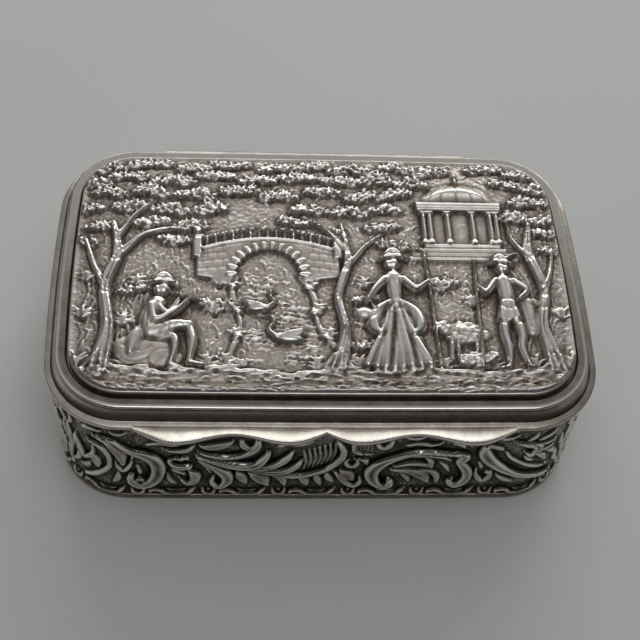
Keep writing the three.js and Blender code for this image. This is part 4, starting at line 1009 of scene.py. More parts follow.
def tree(pen, boughs):
    """Trunk and boughs with furrowed bark, and roots that grip the ground."""
    for number, (points, widths) in enumerate(boughs):
        height = 1.15 if number == 0 else 0.9
        pen.stroke(points, widths, height, groove=0.28)
        curve = smooth_curve(points)
        way = np.gradient(curve, axis=0)
        side = np.stack([-way[:, 1], way[:, 0]], 1) / np.linalg.norm(way, axis=1)[:, None]
        share = np.linspace(0, 1, len(curve))
        half = np.interp(share, np.linspace(0, 1, len(widths)), widths)
        for offset in (-0.55, -0.1, 0.4):
            wave = offset + 0.2 * np.sin(9 * share + 5 * offset)
            ridge = (curve + side * (half * wave)[:, None])[::5]
            pen.stroke(ridge, 0.22 * half[::5] + 0.05, 0.22, lift=0.86 * height, groove=0.2)
    trunk, trunk_widths = boughs[0]
    u, v = trunk[0]
    wide = trunk_widths[0]
    for reach in (-2.0, -0.9, 1.1, 2.2):
        root = [(u + 0.3 * reach, v + 2.6), (u + 0.55 * reach * wide, v + 0.9), (u + reach * wide, v - 0.5)]
        pen.stroke(root, [0.5, 0.5, 0.2], 0.85, groove=0.2)


def tuft(pen, rng, foot, size, count=9, height=0.55):
    """Fern or grass: a fan of bent blades."""
    for lean in np.linspace(-1, 1, count):
        lean += rng.uniform(-0.1, 0.1)
        tall = size * (1.05 - 0.6 * lean * lean) * rng.uniform(0.8, 1.1)
        tip = (foot[0] + size * lean, foot[1] + tall)
        bend = (foot[0] + size * 0.35 * lean, foot[1] + 0.7 * tall)
        pen.stroke([foot, bend, tip], [0.16, 0.26, 0.05], height, groove=0.14)


def ground(pen, rng):
    """Uneven bank along the foot of the picture."""
    pen.plate(np.vstack([smooth_curve(GROUND_CREST), [(41, -26), (-41, -26)]]), 0.55, 0.6, groove=0.2)
    for at in smooth_curve(GROUND_CREST, 6)[1:-1]:
        clod = (rng.uniform(1.4, 2.8), rng.uniform(0.3, 0.5))
        middle = at + [0, rng.uniform(-0.7, 0.1)]
        pen.blob(middle, clod, rng.uniform(0.3, 0.45), rng.uniform(-10, 10), 0.4, 0.18)
    for _ in range(BANK_STROKES):
        u = rng.uniform(-38, 38)
        v = rng.uniform(-24.4, -21.6)
        reach = rng.uniform(0.6, 1.8)
        bend = rng.uniform(-0.5, 0.5)
        blade = [(u - reach, v - bend), (u, v), (u + reach, v + bend / 2)]
        widths = [0.05, rng.uniform(0.14, 0.26), 0.05]
        pen.stroke(blade, widths, rng.uniform(0.2, 0.34), lift=0.45, groove=0.22)


def bridge(pen):
    """Stone bridge of one arch, with a balustrade. Placed by the middle of the arch's springing."""
    radius = 5.2
    deck = [(-12.0, 5.0), (-6.0, 6.8), (0, 7.5), (6.0, 6.8), (12.0, 5.0)]
    arch = [(radius * math.cos(a), radius * math.sin(a)) for a in np.linspace(0, math.pi, 17)]
    sides = [(12.0, -0.6), (5.9, -1.6)] + arch + [(-5.9, -1.6), (-12.0, -0.6)]
    pen.plate(np.vstack([smooth_curve(deck), sides]), 0.6, 0.3)
    for row in range(4):
        level = 6.0 - 1.5 * row
        for side in (1, -1):
            pen.line([(11.5 * side, level - 0.6), (7.0 * side, level)], 0.14, 0.1)
            for k in range(3):
                along = side * (10.9 - 1.7 * k - 0.8 * (row % 2))
                pen.line([(along, level - 0.2), (along, level - 1.5)], 0.14, 0.1)
    for a in np.linspace(0, math.pi, 14):
        way = np.array([math.cos(a), math.sin(a)])
        pen.stroke([(radius + 0.1) * way, (radius + 1.3) * way], [0.46, 0.52], 0.85, "flat", edge=0.15)
    pen.stroke(deck, [0.42], 0.95, "flat")
    for along in np.linspace(-10.1, 10.1, 15):
        level = 7.5 - 2.5 * (along / 12) ** 2
        pen.stroke([(along, level + 0.3), (along, level + 1.1), (along, level + 1.9)], [0.2, 0.36, 0.2], 0.7)
    pen.stroke([(along, level + 2.2) for along, level in deck], [0.34], 0.9, "flat")
    for side in (1, -1):
        for inner, outer, low, high, height in BRIDGE_PIER:
            corners = [(inner, low), (outer, low), (outer, high), (inner, high)]
            pen.plate([(side * along, level) for along, level in corners], height)
        pen.blob((11.7 * side, 9.1), (0.85, 0.85), 1.1)


def stream(pen, rng, head, foot):
    """Water that runs out under the arch towards the front, between low banks with a few stones."""
    head = np.array(head)
    foot = np.array(foot)
    for side in (1, -1):
        bank = [head + share * (foot - head) + [side * (5.0 + 3.6 * share + 0.8 * math.sin(8 * share)), 0]
                for share in np.linspace(0, 1, 8)]
        pen.stroke(bank, [0.5, 0.7, 0.45, 0.75, 0.5], 0.4, groove=0.3)
        for at in bank[1::2]:
            stone = (rng.uniform(0.9, 1.5), rng.uniform(0.5, 0.8))
            pen.blob(at, stone, 0.8, rng.uniform(-20, 20), groove=0.25)
            tuft(pen, rng, at + [side * 0.6, 0.2], rng.uniform(1.5, 2.2), 6)
    for _ in range(RIPPLES):
        share = rng.uniform(0, 1)
        u, v = head + share * (foot - head)
        u += rng.uniform(-1, 1) * (3.2 + 3.0 * share)
        reach = rng.uniform(0.8, 2.2) * (0.6 + 0.6 * share)
        ripple = [(u - reach, v), (u - reach / 3, v + 0.2), (u + reach / 3, v - 0.1), (u + reach, v + 0.1)]
        pen.stroke(ripple, [0.05, 0.2, 0.2, 0.05], 0.3, groove=0.16)


def swan(pen):
    """Swimming swan, placed by the middle of its body."""
    pen.blob((0, 0), (2.2, 1.0), 1.05, 6, groove=0.24)
    for k in range(3):
        feather = [(0.9 - 0.2 * k, 0.2 + 0.25 * k), (-0.8 - 0.2 * k, 0.35 + 0.3 * k), (-2.5, 0.6 + 0.4 * k)]
        pen.stroke(feather, [0.12, 0.34, 0.08], 0.4, lift=0.65)
    neck = [(1.6, 0.2), (2.5, 1.2), (1.9, 2.3), (2.0, 3.2), (2.9, 3.3)]
    pen.stroke(neck, [0.46, 0.36, 0.32, 0.4, 0.16], 0.95, groove=0.2)


def temple(pen):
    """Round garden temple on steps. Placed by the middle of its lowest step."""
    for k in range(4):
        pen.bar(9.4 - 0.9 * k, 0.85 * k, 0.85 * k + 0.95, 0.45 + 0.12 * k)
    pen.bar(6.2, 3.4, 10.8, 0.2, 0.3)
    for share in (-1, -0.62, -0.22, 0.22, 0.62, 1):
        along = 6.3 * math.sin(share * math.pi / 2)
        wide = 0.66 - 0.12 * abs(share)
        pen.stroke([(along, 4.1), (along, 10.0)], [wide, 0.86 * wide], 1.05, groove=0.26)
        for low in (3.4, 9.9):
            pen.bar(0.85, low, low + 0.8, 1.05, middle=along)
    pen.bar(7.6, 10.7, 12.2, 0.85, 0.2)
    pen.bar(8.2, 12.0, 12.7, 1.05)
    dome = [(6.4 * math.cos(a), 12.6 + 5.0 * math.sin(a)) for a in np.linspace(0, math.pi, 24)]
    pen.plate(dome, 1.0, 2.4, groove=0.2)
    for share in (-0.8, -0.45, 0.0, 0.45, 0.8):
        pen.line([(6.2 * share * math.cos(a), 12.8 + 4.7 * math.sin(a)) for a in np.linspace(0.06, 1.5, 7)])
    pen.stroke([(0, 17.4), (0, 18.6)], [0.5, 0.25], 0.95)
    pen.blob((0, 19.0), (0.55, 0.6), 1.0)


def sheep(pen, rng, lying=False):
    """Woolly sheep, placed by the middle of its body."""
    if not lying:
        for along, lean in ((-1.9, -0.15), (-1.3, 0.2), (1.2, -0.2), (1.8, 0.15)):
            pen.stroke([(along, -0.8), (along + lean, -3.9)], [0.45, 0.28], 0.85, groove=0.2)
    pen.blob((0, 0), (2.9, 1.75), 1.15, groove=0.26)
    for _ in range(34):
        angle = rng.uniform(0, 2 * math.pi)
        far = math.sqrt(rng.uniform(0, 1))
        lift = 0.85 * math.sqrt(1 - 0.9 * far * far)
        curl = 0.52 * rng.uniform(0.75, 1.2)
        middle = (2.8 * far * math.cos(angle), 1.65 * far * math.sin(angle))
        pen.blob(middle, (curl, 0.6 * curl), 0.32, rng.uniform(-40, 40), lift, 0.14)
    pen.blob((2.5, 0.7), (1.1, 1.2), 1.15)
    pen.blob((3.2, 0.9), (1.15, 0.68), 1.35, -38, groove=0.22)
    pen.blob((2.45, 1.35), (0.6, 0.25), 1.4, 200)


def head(pen, at, hat_tilt):
    """Head turned to one side under a brimmed hat. Placed by the middle of the head."""
    u, v = at
    pen.blob((u, v), (0.98, 1.22), 1.45, -6)
    pen.blob((u + 0.86, v - 0.12), (0.26, 0.2), 1.3, -25, groove=0)
    pen.blob((u - 0.75, v - 0.15), (0.62, 1.0), 1.35, 12, groove=0.1)
    pen.line([(u + 0.35, v + 0.1), (u + 0.7, v + 0.12)], 0.14, 0.1)
    brim = [(u - 1.9, v + 0.75 - hat_tilt), (u, v + 1.2), (u + 1.95, v + 0.75 + hat_tilt)]
    crown = [(u - 1.0, v + 1.55 - hat_tilt / 2), (u, v + 2.15), (u + 0.95, v + 1.55 + hat_tilt / 2)]
    pen.stroke(brim, [0.24, 0.5, 0.22], 1.6)
    pen.stroke(crown, [0.45, 0.72, 0.4], 1.5)


def piper(pen):
    """Seated figure with a flute, on a rock. Placed by the foot of the rock."""
    pen.blob((-2.6, 2.6), (4.2, 2.6), 0.75, -8, groove=0.22)
    pen.blob((0.1, 1.4), (2.2, 1.3), 0.65, 6)
    pen.line([(-5.5, 3.4), (-3.2, 2.4), (-1.8, 3.0)], 0.22)
    pen.line([(-5.8, 1.6), (-4.0, 0.9), (-2.2, 1.4)], 0.2)
    pen.stroke([(-2.6, 6.2), (-3.9, 4.4), (-4.4, 2.2)], [1.0, 1.1, 0.5], 1.0)
    pen.stroke([(-1.2, 4.9), (0.8, 4.6), (1.1, 2.6), (0.6, 0.6)], [1.0, 0.8, 0.55, 0.4], 1.0)
    pen.stroke([(0.5, 0.5), (2.1, 0.1)], [0.45, 0.3], 0.95)
    pen.stroke([(-1.6, 5.4), (0.8, 6.3), (2.8, 6.4)], [1.25, 1.05, 0.8], 1.35)
    pen.stroke([(2.8, 6.2), (3.3, 3.8), (3.0, 1.0)], [0.75, 0.7, 0.42], 1.25)
    pen.stroke([(2.9, 0.8), (4.8, 0.4)], [0.48, 0.32], 1.1)
    pen.stroke([(-2.0, 5.4), (-2.2, 7.6), (-1.3, 9.8)], [1.35, 1.45, 1.25], 1.4)
    for k in range(3):
        pen.line([(-2.9 + 0.55 * k, 8.4 + 0.3 * k), (-3.2 + 0.6 * k, 5.6 + 0.2 * k)], 0.24, 0.13)
        pen.line([(-0.6 + 0.8 * k, 6.6), (-0.2 + 0.8 * k, 5.4)], 0.16, 0.11)
    pen.stroke([(-1.4, 9.4), (0.1, 8.1), (1.4, 10.2)], [0.72, 0.6, 0.36], 1.45)
    pen.stroke([(-2.1, 9.3), (-1.4, 7.0), (1.1, 8.4), (2.6, 10.1)], [0.76, 0.7, 0.52, 0.34], 1.6)
    pen.stroke([(0.4, 11.5), (4.4, 10.1)], [0.2, 0.24], 1.35)
    head(pen, (-0.6, 12.0), -0.1)


def shepherdess(pen):
    """Standing figure in a full skirt, with a crook and a basket. Placed by the hem."""
    skirt = [(-0.9, 10.4), (1.1, 10.4), (3.4, 5.6), (4.3, 0.8), (2.0, 0), (-2.4, 0), (-4.5, 0.7), (-3.2, 5.6)]
    pen.plate(skirt, 0.85, 0.9, groove=0.24)
    for k in range(8):
        share = k / 7
        knee = (-1.9 + 4.1 * share + 0.4 * math.sin(2.4 * k), 5.8)
        hem = (-4.2 + 8.2 * share, 0.6 - 0.8 * math.sin(math.pi * share))
        pen.stroke([(-0.7 + 1.6 * share, 10.2), knee, hem], [0.22, 0.5, 0.6], 0.5, lift=0.7, groove=0.26)
    for side in (1, -1):
        puff = [(0.9 * side, 10.5), (2.4 * side, 9.0), (3.0 * side, 6.8), (2.2 * side, 5.2)]
        pen.stroke(puff, [0.4, 1.0, 1.15, 0.4], 1.35, groove=0.26)
        for k in range(3):
            bend = ((2.4 - 0.4 * k) * side, 8.4 - 0.5 * k)
            pen.line([(0.9 * side, 10.0 - 0.3 * k), bend, (2.3 * side, 5.8 + 0.2 * k)], 0.2)
    pen.stroke([(0.1, 10.2), (0, 12.4), (0, 14.6)], [0.95, 1.15, 1.4], 1.45)
    pen.line([(0, 10.6), (-0.05, 14.0)], 0.2)
    pen.stroke([(-1.2, 14.3), (-2.6, 12.6), (-3.8, 10.6)], [0.74, 0.62, 0.36], 1.45)
    pen.blob((-4.2, 8.7), (1.5, 1.15), 1.15, groove=0.24)
    pen.stroke([(-5.4, 9.4), (-4.9, 11.0), (-3.4, 10.9), (-2.9, 9.4)], [0.2], 1.05)
    for k in range(4):
        pen.line([(-5.5, 8.1 + 0.45 * k), (-4.2, 7.9 + 0.45 * k), (-2.9, 8.1 + 0.45 * k)], 0.16, 0.1)
    pen.stroke([(1.3, 14.3), (3.0, 12.8), (4.7, 14.0)], [0.74, 0.6, 0.36], 1.45)
    pen.stroke([(5.4, 0), (4.9, 12.6), (4.6, 18.8)], [0.24], 1.05)
    pen.stroke(spiral((3.7, 18.9), 0.95, 0.55, 0, 0.55, 9), [0.22, 0.24, 0.14], 1.05)
    pen.stroke([(0, 15.0), (0.1, 16.0)], [0.5, 0.45], 1.25, groove=0)
    head(pen, (0.15, 17.0), 0.1)


def youth(pen):
    """Standing figure in a short coat, leaning on a staff. Placed by the feet."""
    pen.stroke([(-1.0, 16.2), (-2.8, 12.0), (-3.2, 6.8)], [0.6, 1.2, 1.1], 0.75, groove=0.24)
    pen.line([(-2.4, 12.6), (-3.0, 7.2)], 0.2)
    pen.stroke([(-0.4, 10.6), (-1.5, 6.2), (-1.2, 3.4), (-2.0, 0.5)], [1.1, 0.85, 0.72, 0.4], 1.1)
    pen.stroke([(-2.0, 0.4), (-3.5, 0.2)], [0.46, 0.3], 1.05)
    pen.stroke([(0.6, 10.6), (1.1, 6.4), (0.8, 3.4), (1.0, 0.4)], [1.1, 0.88, 0.74, 0.4], 1.25)
    pen.stroke([(1.0, 0.3), (2.6, 0.0)], [0.48, 0.3], 1.15)
    pen.plate([(-1.4, 12.6), (1.5, 12.6), (2.4, 8.2), (0.2, 7.6), (-2.2, 8.4)], 1.35, 0.7, groove=0.24)
    for k in range(4):
        pen.line([(-0.9 + 0.6 * k, 12.0), (-1.6 + 1.1 * k, 8.4)], 0.22, 0.13)
    pen.stroke([(0, 11.8), (0.1, 14.0), (0.2, 15.8)], [1.35, 1.5, 1.5], 1.5)
    pen.line([(-1.4, 12.3), (0, 12.05), (1.4, 12.3)], 0.24)
    pen.line([(0.3, 15.8), (0.15, 12.4)], 0.18)
    pen.stroke([(-1.3, 15.8), (-3.1, 14.0), (-1.7, 12.4)], [0.76, 0.64, 0.4], 1.45)
    pen.stroke([(1.5, 15.8), (3.2, 13.6), (4.4, 14.8)], [0.76, 0.62, 0.36], 1.6)
    pen.stroke([(5.0, 0), (4.6, 12), (4.3, 20)], [0.25], 1.15)
    pen.stroke([(0.2, 16.2), (0.3, 17.4)], [0.52, 0.46], 1.3, groove=0)
    head(pen, (0.35, 18.4), 0.15)
    pen.stroke([(-0.4, 20.1), (-2.2, 21.0), (-3.3, 20.3)], [0.3, 0.36, 0.1], 1.4)


def foreground(pen, rng):
    """Ferns and grass at the foot of the trees and figures."""
    for u, v, size in FERNS:
        tuft(pen, rng, (u, v), size)


def chase_lid():
    """The whole picture as one sheet."""
    rng = np.random.default_rng(PICTURE_SEED)
    half = np.array(PICTURE_HALF)
    sheet = Sheet(-half, half, PICTURE_STEP)
    pen = Pen(sheet)
    grass(pen, rng)
    reeds(pen, np.random.default_rng(REED_SEED))
    stream(pen, rng, STREAM_HEAD, STREAM_FOOT)
    bridge(Pen(sheet, BRIDGE_AT))
    foliage(pen, rng)
    temple(Pen(sheet, TEMPLE_AT))
    for boughs in (LEFT_TREE, MIDDLE_TREE, RIGHT_TREE):
        tree(pen, boughs)
    foreground(pen, rng)
    swan(Pen(sheet, (-10.6, -9.0)))
    swan(Pen(sheet, (-6.0, -14.8), 1.2, -1))
    sheep(Pen(sheet, (22.6, -13.6), 1.3, -1), rng)
    sheep(Pen(sheet, (23.8, -19.0), 1.0), rng, lying=True)
    piper(Pen(sheet, (-25.2, -20.6), 1.25))
    shepherdess(Pen(sheet, (11.6, -20.6), 1.22))
    youth(Pen(sheet, (30.2, -20.4), 1.08, -1))
    ground(pen, rng)
    sheet.height = soften(sheet.height, 1)
    sheet.punch(rng, *PICTURE_PUNCH)
    return sheet


# Lid panel

PANEL_EDGE = 4.25
PANEL_SPACING = 0.19
BULGE_POWER = 6
PICTURE_SINK = 0.35
PICTURE_GROUND_TONE = 0.37
# Insets from the panel's edge where the sinking starts and over which it, and the relief, come in
SINK_START = -0.3
SINK_RUN = 1.2
RELIEF_RUN = 0.5
# Plain band along the panel's edge, with a painted highlight that is brighter at the front than at the back:
# its width, how softly it ends and how bright it is
BAND_WIDTH = 0.7
BAND_RUN = 0.5
BAND_FRONT_HIGHLIGHT = 0.55
BAND_BACK_LIGHT = 0.34
BAND_TURN = 10.0
# Sunk line round the picture, which dies away towards the back
LINE_INSET = 5.75
LINE_HALF = 0.4
LINE_DEPTH = 0.12
LINE_SHADE = 0.2
LINE_FADE = 20.0
# Rolled shoulder below the grid, and the lip and hollow of the underside
ROLL_DEGREES = (42, 30, 18, 8, 0)
PANEL_LIP = 0.6
PANEL_HOLLOW = 1.4
# Painted shade on the roll, the upright side and the underside: darker downwards
SIDE_SHADE_TONES = (0.6, 0.5, 0.4, 0.3, 0.15, 0.06, 0.06, 0.06)


def shoulder_height(inset):
    """Height of the plain panel at an inset: rolled shoulder, then a low crown."""
    over = np.clip((PANEL_INSET + SHOULDER - inset) / SHOULDER, 0, 1)
    crown = np.clip((inset - PANEL_INSET - SHOULDER) / (CROWN_INSET - PANEL_INSET - SHOULDER), 0, 1)
    return SHOULDER_BOTTOM + SHOULDER * np.sqrt(1 - over * over) + CROWN_RISE * np.sin(crown * math.pi / 2)


def panel_rows(edge, spacing):
    """Places of the grid's rows from front to back, closer together at the corners, and their half widths."""
    radius = CORNER_RADIUS - edge
    count = int(round(radius * CORNER_SWING / spacing))
    angles = END_SWING + CORNER_SWING * np.arange(1, count + 1) / count
    straight = CORNER_Y + radius * math.sin(END_SWING)
    middle = np.linspace(-straight, straight, int(round(2 * straight / spacing)))
    corner_y = CORNER_Y + radius * np.sin(angles)
    corner_half = CORNER_X + radius * np.cos(angles)
    middle_half = END_CENTRE + np.sqrt((END_RADIUS - edge) ** 2 - middle**2)
    rows = np.concatenate([-corner_y[::-1], middle, corner_y])
    return rows, np.concatenate([corner_half[::-1], middle_half, corner_half])


def panel_grid():
    """Grid of places that fills the panel's outline at its edge inset."""
    rows, half = panel_rows(PANEL_EDGE, PANEL_SPACING)
    columns = int(round(2 * half.max() / PANEL_SPACING))
    across = np.linspace(-1, 1, columns)
    x = across[None, :] * half[:, None]
    long_edge = LONG_CENTRE + np.sqrt((LONG_RADIUS - PANEL_EDGE) ** 2 - x**2)
    bulge = long_edge - rows.max()
    share = np.abs(rows / rows.max())[:, None]
    y = rows[:, None] + np.sign(rows)[:, None] * np.maximum(bulge, 0) * share**BULGE_POWER
    return x, y


def border_loop(rows, columns):
    """Numbers of the grid's outer points, anticlockwise."""
    index = np.arange(rows * columns).reshape(rows, columns)
    return np.concatenate([index[0, :-1], index[:-1, -1], index[-1, :0:-1], index[:0:-1, 0]])


def grid_faces(rows, columns):
    """Faces of a grid of points."""
    index = np.arange(rows * columns).reshape(rows, columns)
    return np.stack([index[:-1, :-1], index[:-1, 1:], index[1:, 1:], index[1:, :-1]], -1).reshape(-1, 4)


def outward_at(x, y):
    """Ways straight out of the box's plan at places inside it."""
    tiny = 0.01
    slope_x = inset_of(x + tiny, y) - inset_of(x - tiny, y)
    slope_y = inset_of(x, y + tiny) - inset_of(x, y - tiny)
    outward = -np.column_stack([slope_x, slope_y])
    return outward / np.linalg.norm(outward, axis=1)[:, None]


def panel_surface(x, y):
    """Heights and tones of the panel's upper side."""
    sheet = chase_lid()
    tones = Sheet(sheet.low, -sheet.low, sheet.step)
    tones.height = tone_of(sheet.height, sheet.step, PICTURE_GROUND_TONE)
    inset = inset_of(x, y)
    from_edge = inset - PANEL_EDGE
    sink = PICTURE_SINK * rise((from_edge - SINK_START) / SINK_RUN)
    relief = sheet.sample(x, y) * rise(from_edge / RELIEF_RUN)
    line = np.exp(-(((inset - LINE_INSET) / LINE_HALF) ** 2)) * rise(-y / LINE_FADE)
    z = shoulder_height(inset) - sink + relief - LINE_DEPTH * line
    # Painted highlight on the band along the edge, brighter at the front than at the back, and the sunk line
    # painted darker with shade
    band = rise((BAND_WIDTH - from_edge) / BAND_RUN)
    band_painted_light = np.interp(y, [-BAND_TURN, BAND_TURN], [BAND_FRONT_HIGHLIGHT, BAND_BACK_LIGHT])
    tone = tones.sample(x, y) * (1 - band) + band_painted_light * band - LINE_SHADE * line
    return z, tone


def panel_piece(material):
    """Picture panel: relief on a low crown, rolled shoulder, upright side and hollow underside."""
    x, y = panel_grid()
    z, tone = panel_surface(x, y)
    rows, columns = x.shape
    points = [np.column_stack([x.ravel(), y.ravel(), z.ravel()])]
    faces = [grid_faces(rows, columns)]
    loop = border_loop(rows, columns)
    count = len(loop)
    edge = points[0][loop, :2]
    outward = outward_at(edge[:, 0], edge[:, 1])
    rolled = PANEL_INSET + SHOULDER * (1 - np.cos(np.radians(ROLL_DEGREES)))
    profile = list(zip(rolled, shoulder_height(rolled)))
    profile += [(PANEL_INSET, PANEL_BOTTOM), (PANEL_INSET + PANEL_LIP, PANEL_BOTTOM)]
    profile.append((PANEL_INSET + PANEL_HOLLOW, PANEL_BOTTOM + PANEL_HOLLOW))
    before = loop
    for number, (inset, level) in enumerate(profile):
        flat = edge + outward * (PANEL_EDGE - inset)
        points.append(np.column_stack([flat, np.full(count, level)]))
        here = rows * columns + number * count + np.arange(count)
        faces.append(np.stack([before, here, np.roll(here, -1), np.roll(before, -1)], 1))
        before = here
    faces = list(np.vstack(faces)) + [before]
    made = mesh_object("lid_picture", np.vstack(points), faces, RELIEF_SHARP_DEGREES)
    keep_tone(made, np.concatenate([tone.ravel(), np.repeat(SIDE_SHADE_TONES, count)]))
    return dress(made, "lid_panel", "lid", material)


# Plain mounts

ARC_POINTS = 7
BRIM_ARC_POINTS = 5
FOOT_ROUND = 0.5
FOOT_ROUND_STEPS = 6
RIM_ROUND = 0.18
PLATE_CHAMFER = 0.1
LINING_CHAMFER = 0.3
LINING_ROLL = 0.15
LINING_FILLET = 1.1
LID_LINING_CHAMFER = 0.12
# Where the curve of the cove is pulled to, as shares of the way in and of the way up
COVE_PULL = (0.5, 0.28)
COVE_SHARES = np.linspace(0, 1, 16)
# Up the cove from the ledge to the bead: dark just above the ledge and darkest under the bead, tarnish with
# painted shade in the hollow
COVE_TARNISH_AND_SHADE = np.interp(COVE_SHARES, [0, 0.12, 0.3, 0.7, 1], [0.3, 0.1, 0.35, 0.45, 0.08])
LEDGE_SHY = (0.08, 0.01)
BRIM_TONE = 0.44
SHELF_TONES = (0.35, 0.4, 0.5, 0.5)
# Painted light on the frame: its tone is made lighter on the left and darker on the right
FRAME_LEFT_LIGHT = 0.2
NOTCH_SPARE = 0.1
BEAD_FLAT_SHARES = (0.2, 0.4, 0.7)
# Painted light on the bead: at the front a painted highlight on the outer round over a top painted dark, at
# the back a top painted bright, its feet painted dark with shade
BEAD_EDGE_HIGHLIGHT_TONES = np.interp(np.linspace(0, 90, ARC_POINTS), [0, 30, 60, 90], [0.15, 0.6, 0.85, 0.85])
BEAD_FRONT_LIGHT_AND_SHADE = [0.06, *BEAD_EDGE_HIGHLIGHT_TONES, 0.5, 0.27, 0.26] + [0.26] * 4 + [0.2] * 3 + [0.08]
BEAD_BACK_LIGHT_AND_SHADE = [0.06] + [0.3] * ARC_POINTS + [0.85] * 7 + [0.3] * 3 + [0.05]


def foot_piece(material):
    """Plain wire that the box stands on."""
    inner = FOOT_INSET + FOOT_WIDTH
    corners = [(FOOT_INSET, 0), (FOOT_INSET, FOOT_HEIGHT), (inner, FOOT_HEIGHT), (inner, 0)]
    profile = round_corners(corners, FOOT_ROUND, FOOT_ROUND_STEPS)
    made = ring_mesh("foot_rim", profile)
    ring_tones(made, [FOOT_TONE] * len(profile))
    return dress(made, "foot_wire", "case", material)


def bottom_piece(material):
    """Plate let into the foot."""
    shy = PLATE_INSET + PLATE_CHAMFER
    profile = [(shy, PLATE_BOTTOM), (PLATE_INSET, PLATE_BOTTOM + PLATE_CHAMFER),
               (PLATE_INSET, PLATE_TOP - PLATE_CHAMFER), (shy, PLATE_TOP)]
    return dress(block_mesh("bottom_sheet", profile), "bottom_plate", "case", material)


def rim_piece(material):
    """Flat wire on top of the wall, cut away for the hinge."""
    corners = [(RIM_OUTER, RIM_BOTTOM), (RIM_OUTER, RIM_TOP), (RIM_INNER, RIM_TOP), (RIM_INNER, RIM_BOTTOM)]
    made = cut(ring_mesh("case_rim_band", round_corners(corners, RIM_ROUND)), [hinge_seat()])
    return dress(made, "case_rim", "case", material)


def lining_piece(material):
    """Gilt tub with a rounded bottom edge and a rolled top edge that the lid closes over."""
    profile = [(LINING_OUTER + LINING_CHAMFER, LINING_BOTTOM), (LINING_OUTER, LINING_BOTTOM + LINING_CHAMFER),
               (LINING_OUTER, LINING_TOP - LINING_ROLL), (LINING_OUTER + LINING_ROLL, LINING_TOP),
               (LINING_INNER - LINING_ROLL, LINING_TOP), (LINING_INNER, LINING_TOP - LINING_ROLL)]
    profile += edge_arc((LINING_INNER, LINING_FLOOR), LINING_FILLET, -LINING_FILLET, ARC_POINTS)
    return dress(block_mesh("gilt_tub", profile), "case_lining", "case", material)


def frame_piece(material):
    """Lid frame: thin brim, narrow ledge and a deep cove up to the bead."""
    start = np.array([LEDGE_WIDTH, LEDGE_TOP])
    end = np.array([COVE_TOP_INSET, FRAME_TOP])
    pull = start + (end - start) * COVE_PULL
    cove = [(1 - t) ** 2 * start + 2 * t * (1 - t) * pull + t**2 * end for t in COVE_SHARES]
    brim = edge_arc((0, BRIM_BOTTOM), BRIM_ROUND, -BRIM_ROUND, BRIM_ARC_POINTS)[::-1]
    brim += edge_arc((0, BRIM_TOP), BRIM_ROUND, BRIM_ROUND, BRIM_ARC_POINTS)
    brim.append((LEDGE_WIDTH / 2, (BRIM_TOP + LEDGE_TOP) / 2))
    brim.append((LEDGE_WIDTH - LEDGE_SHY[0], LEDGE_TOP - LEDGE_SHY[1]))
    inside = [(SHELF_INSET, FRAME_TOP), (SHELF_INSET, SHELF_BOTTOM),
              (FRAME_INSET, SHELF_BOTTOM), (FRAME_INSET, BRIM_BOTTOM)]
    made = ring_mesh("lid_mount", brim + cove + inside)
    ring_tones(made, [BRIM_TONE] * len(brim) + [*COVE_TARNISH_AND_SHADE, *SHELF_TONES], lean=FRAME_LEFT_LIGHT)
    notch = box_between((-SEAT_HALF, BRIM_DEPTH / 2 - LEDGE_WIDTH - NOTCH_SPARE, BRIM_BOTTOM - NOTCH_SPARE),
                        (SEAT_HALF, BRIM_DEPTH, LEDGE_TOP + NOTCH_SPARE))
    return dress(cut(made, [hinge_seat(), notch]), "lid_frame", "lid", material)


def bead_piece(material):
    """Flat-topped wire between the cove and the panel, with a bright outer edge, a painted highlight at the
    front, and a top painted bright at the back.
    """
    inner = BEAD_INSET + BEAD_WIDTH
    flat = BEAD_WIDTH - 2 * BEAD_ROUND
    profile = [(BEAD_INSET, BEAD_BOTTOM)]
    profile += edge_arc((BEAD_INSET, BEAD_TOP), BEAD_ROUND, BEAD_ROUND, ARC_POINTS)
    profile += [(BEAD_INSET + BEAD_ROUND + share * flat, BEAD_TOP) for share in BEAD_FLAT_SHARES]
    profile += edge_arc((inner, BEAD_TOP), -BEAD_ROUND, BEAD_ROUND, ARC_POINTS)[::-1]
    made = ring_mesh("lid_bead_wire", profile + [(inner, BEAD_BOTTOM)])
    ring_tones(made, BEAD_FRONT_LIGHT_AND_SHADE, BEAD_BACK_LIGHT_AND_SHADE)
    return dress(made, "lid_bead", "lid", material)


def lid_lining_piece(material):
    """Gilt sheet that closes the lid from inside."""
    profile = [(LID_LINING_INSET + LID_LINING_CHAMFER, LID_LINING_BOTTOM),
               (LID_LINING_INSET, LID_LINING_BOTTOM + LID_LINING_CHAMFER), (LID_LINING_INSET, LID_LINING_TOP)]
    return dress(block_mesh("gilt_cover", profile), "lid_lining", "lid", material)


THUMB_PLACES = (0.0, 5.6, 14.5, 23.5, 30.0)
THUMB_REACHES = (0.42, 2.1, 0.76, 2.2, 0.08)
THUMB_DROOP = 0.35
THUMB_LAP = 0.35
THUMB_STEPS = 301
THUMB_CURVE = 2.2
LIP_SHARES = np.array([1, 0.9, 0.75, 0.5, 0.25, 0])
LIP_ROUND = 0.25
LIP_ROUND_STEPS = 3
LIP_TONE_PLACES = np.array([0.0, 0.35, 0.8, 1.0])
LIP_TONES = (0.42, 0.44, 0.64, 0.85)
# Painted shade on the lip's underside
LIP_UNDER_SHADE = 0.16
LIP_ROOT = 0.3
LIP_PROUD = 0.01


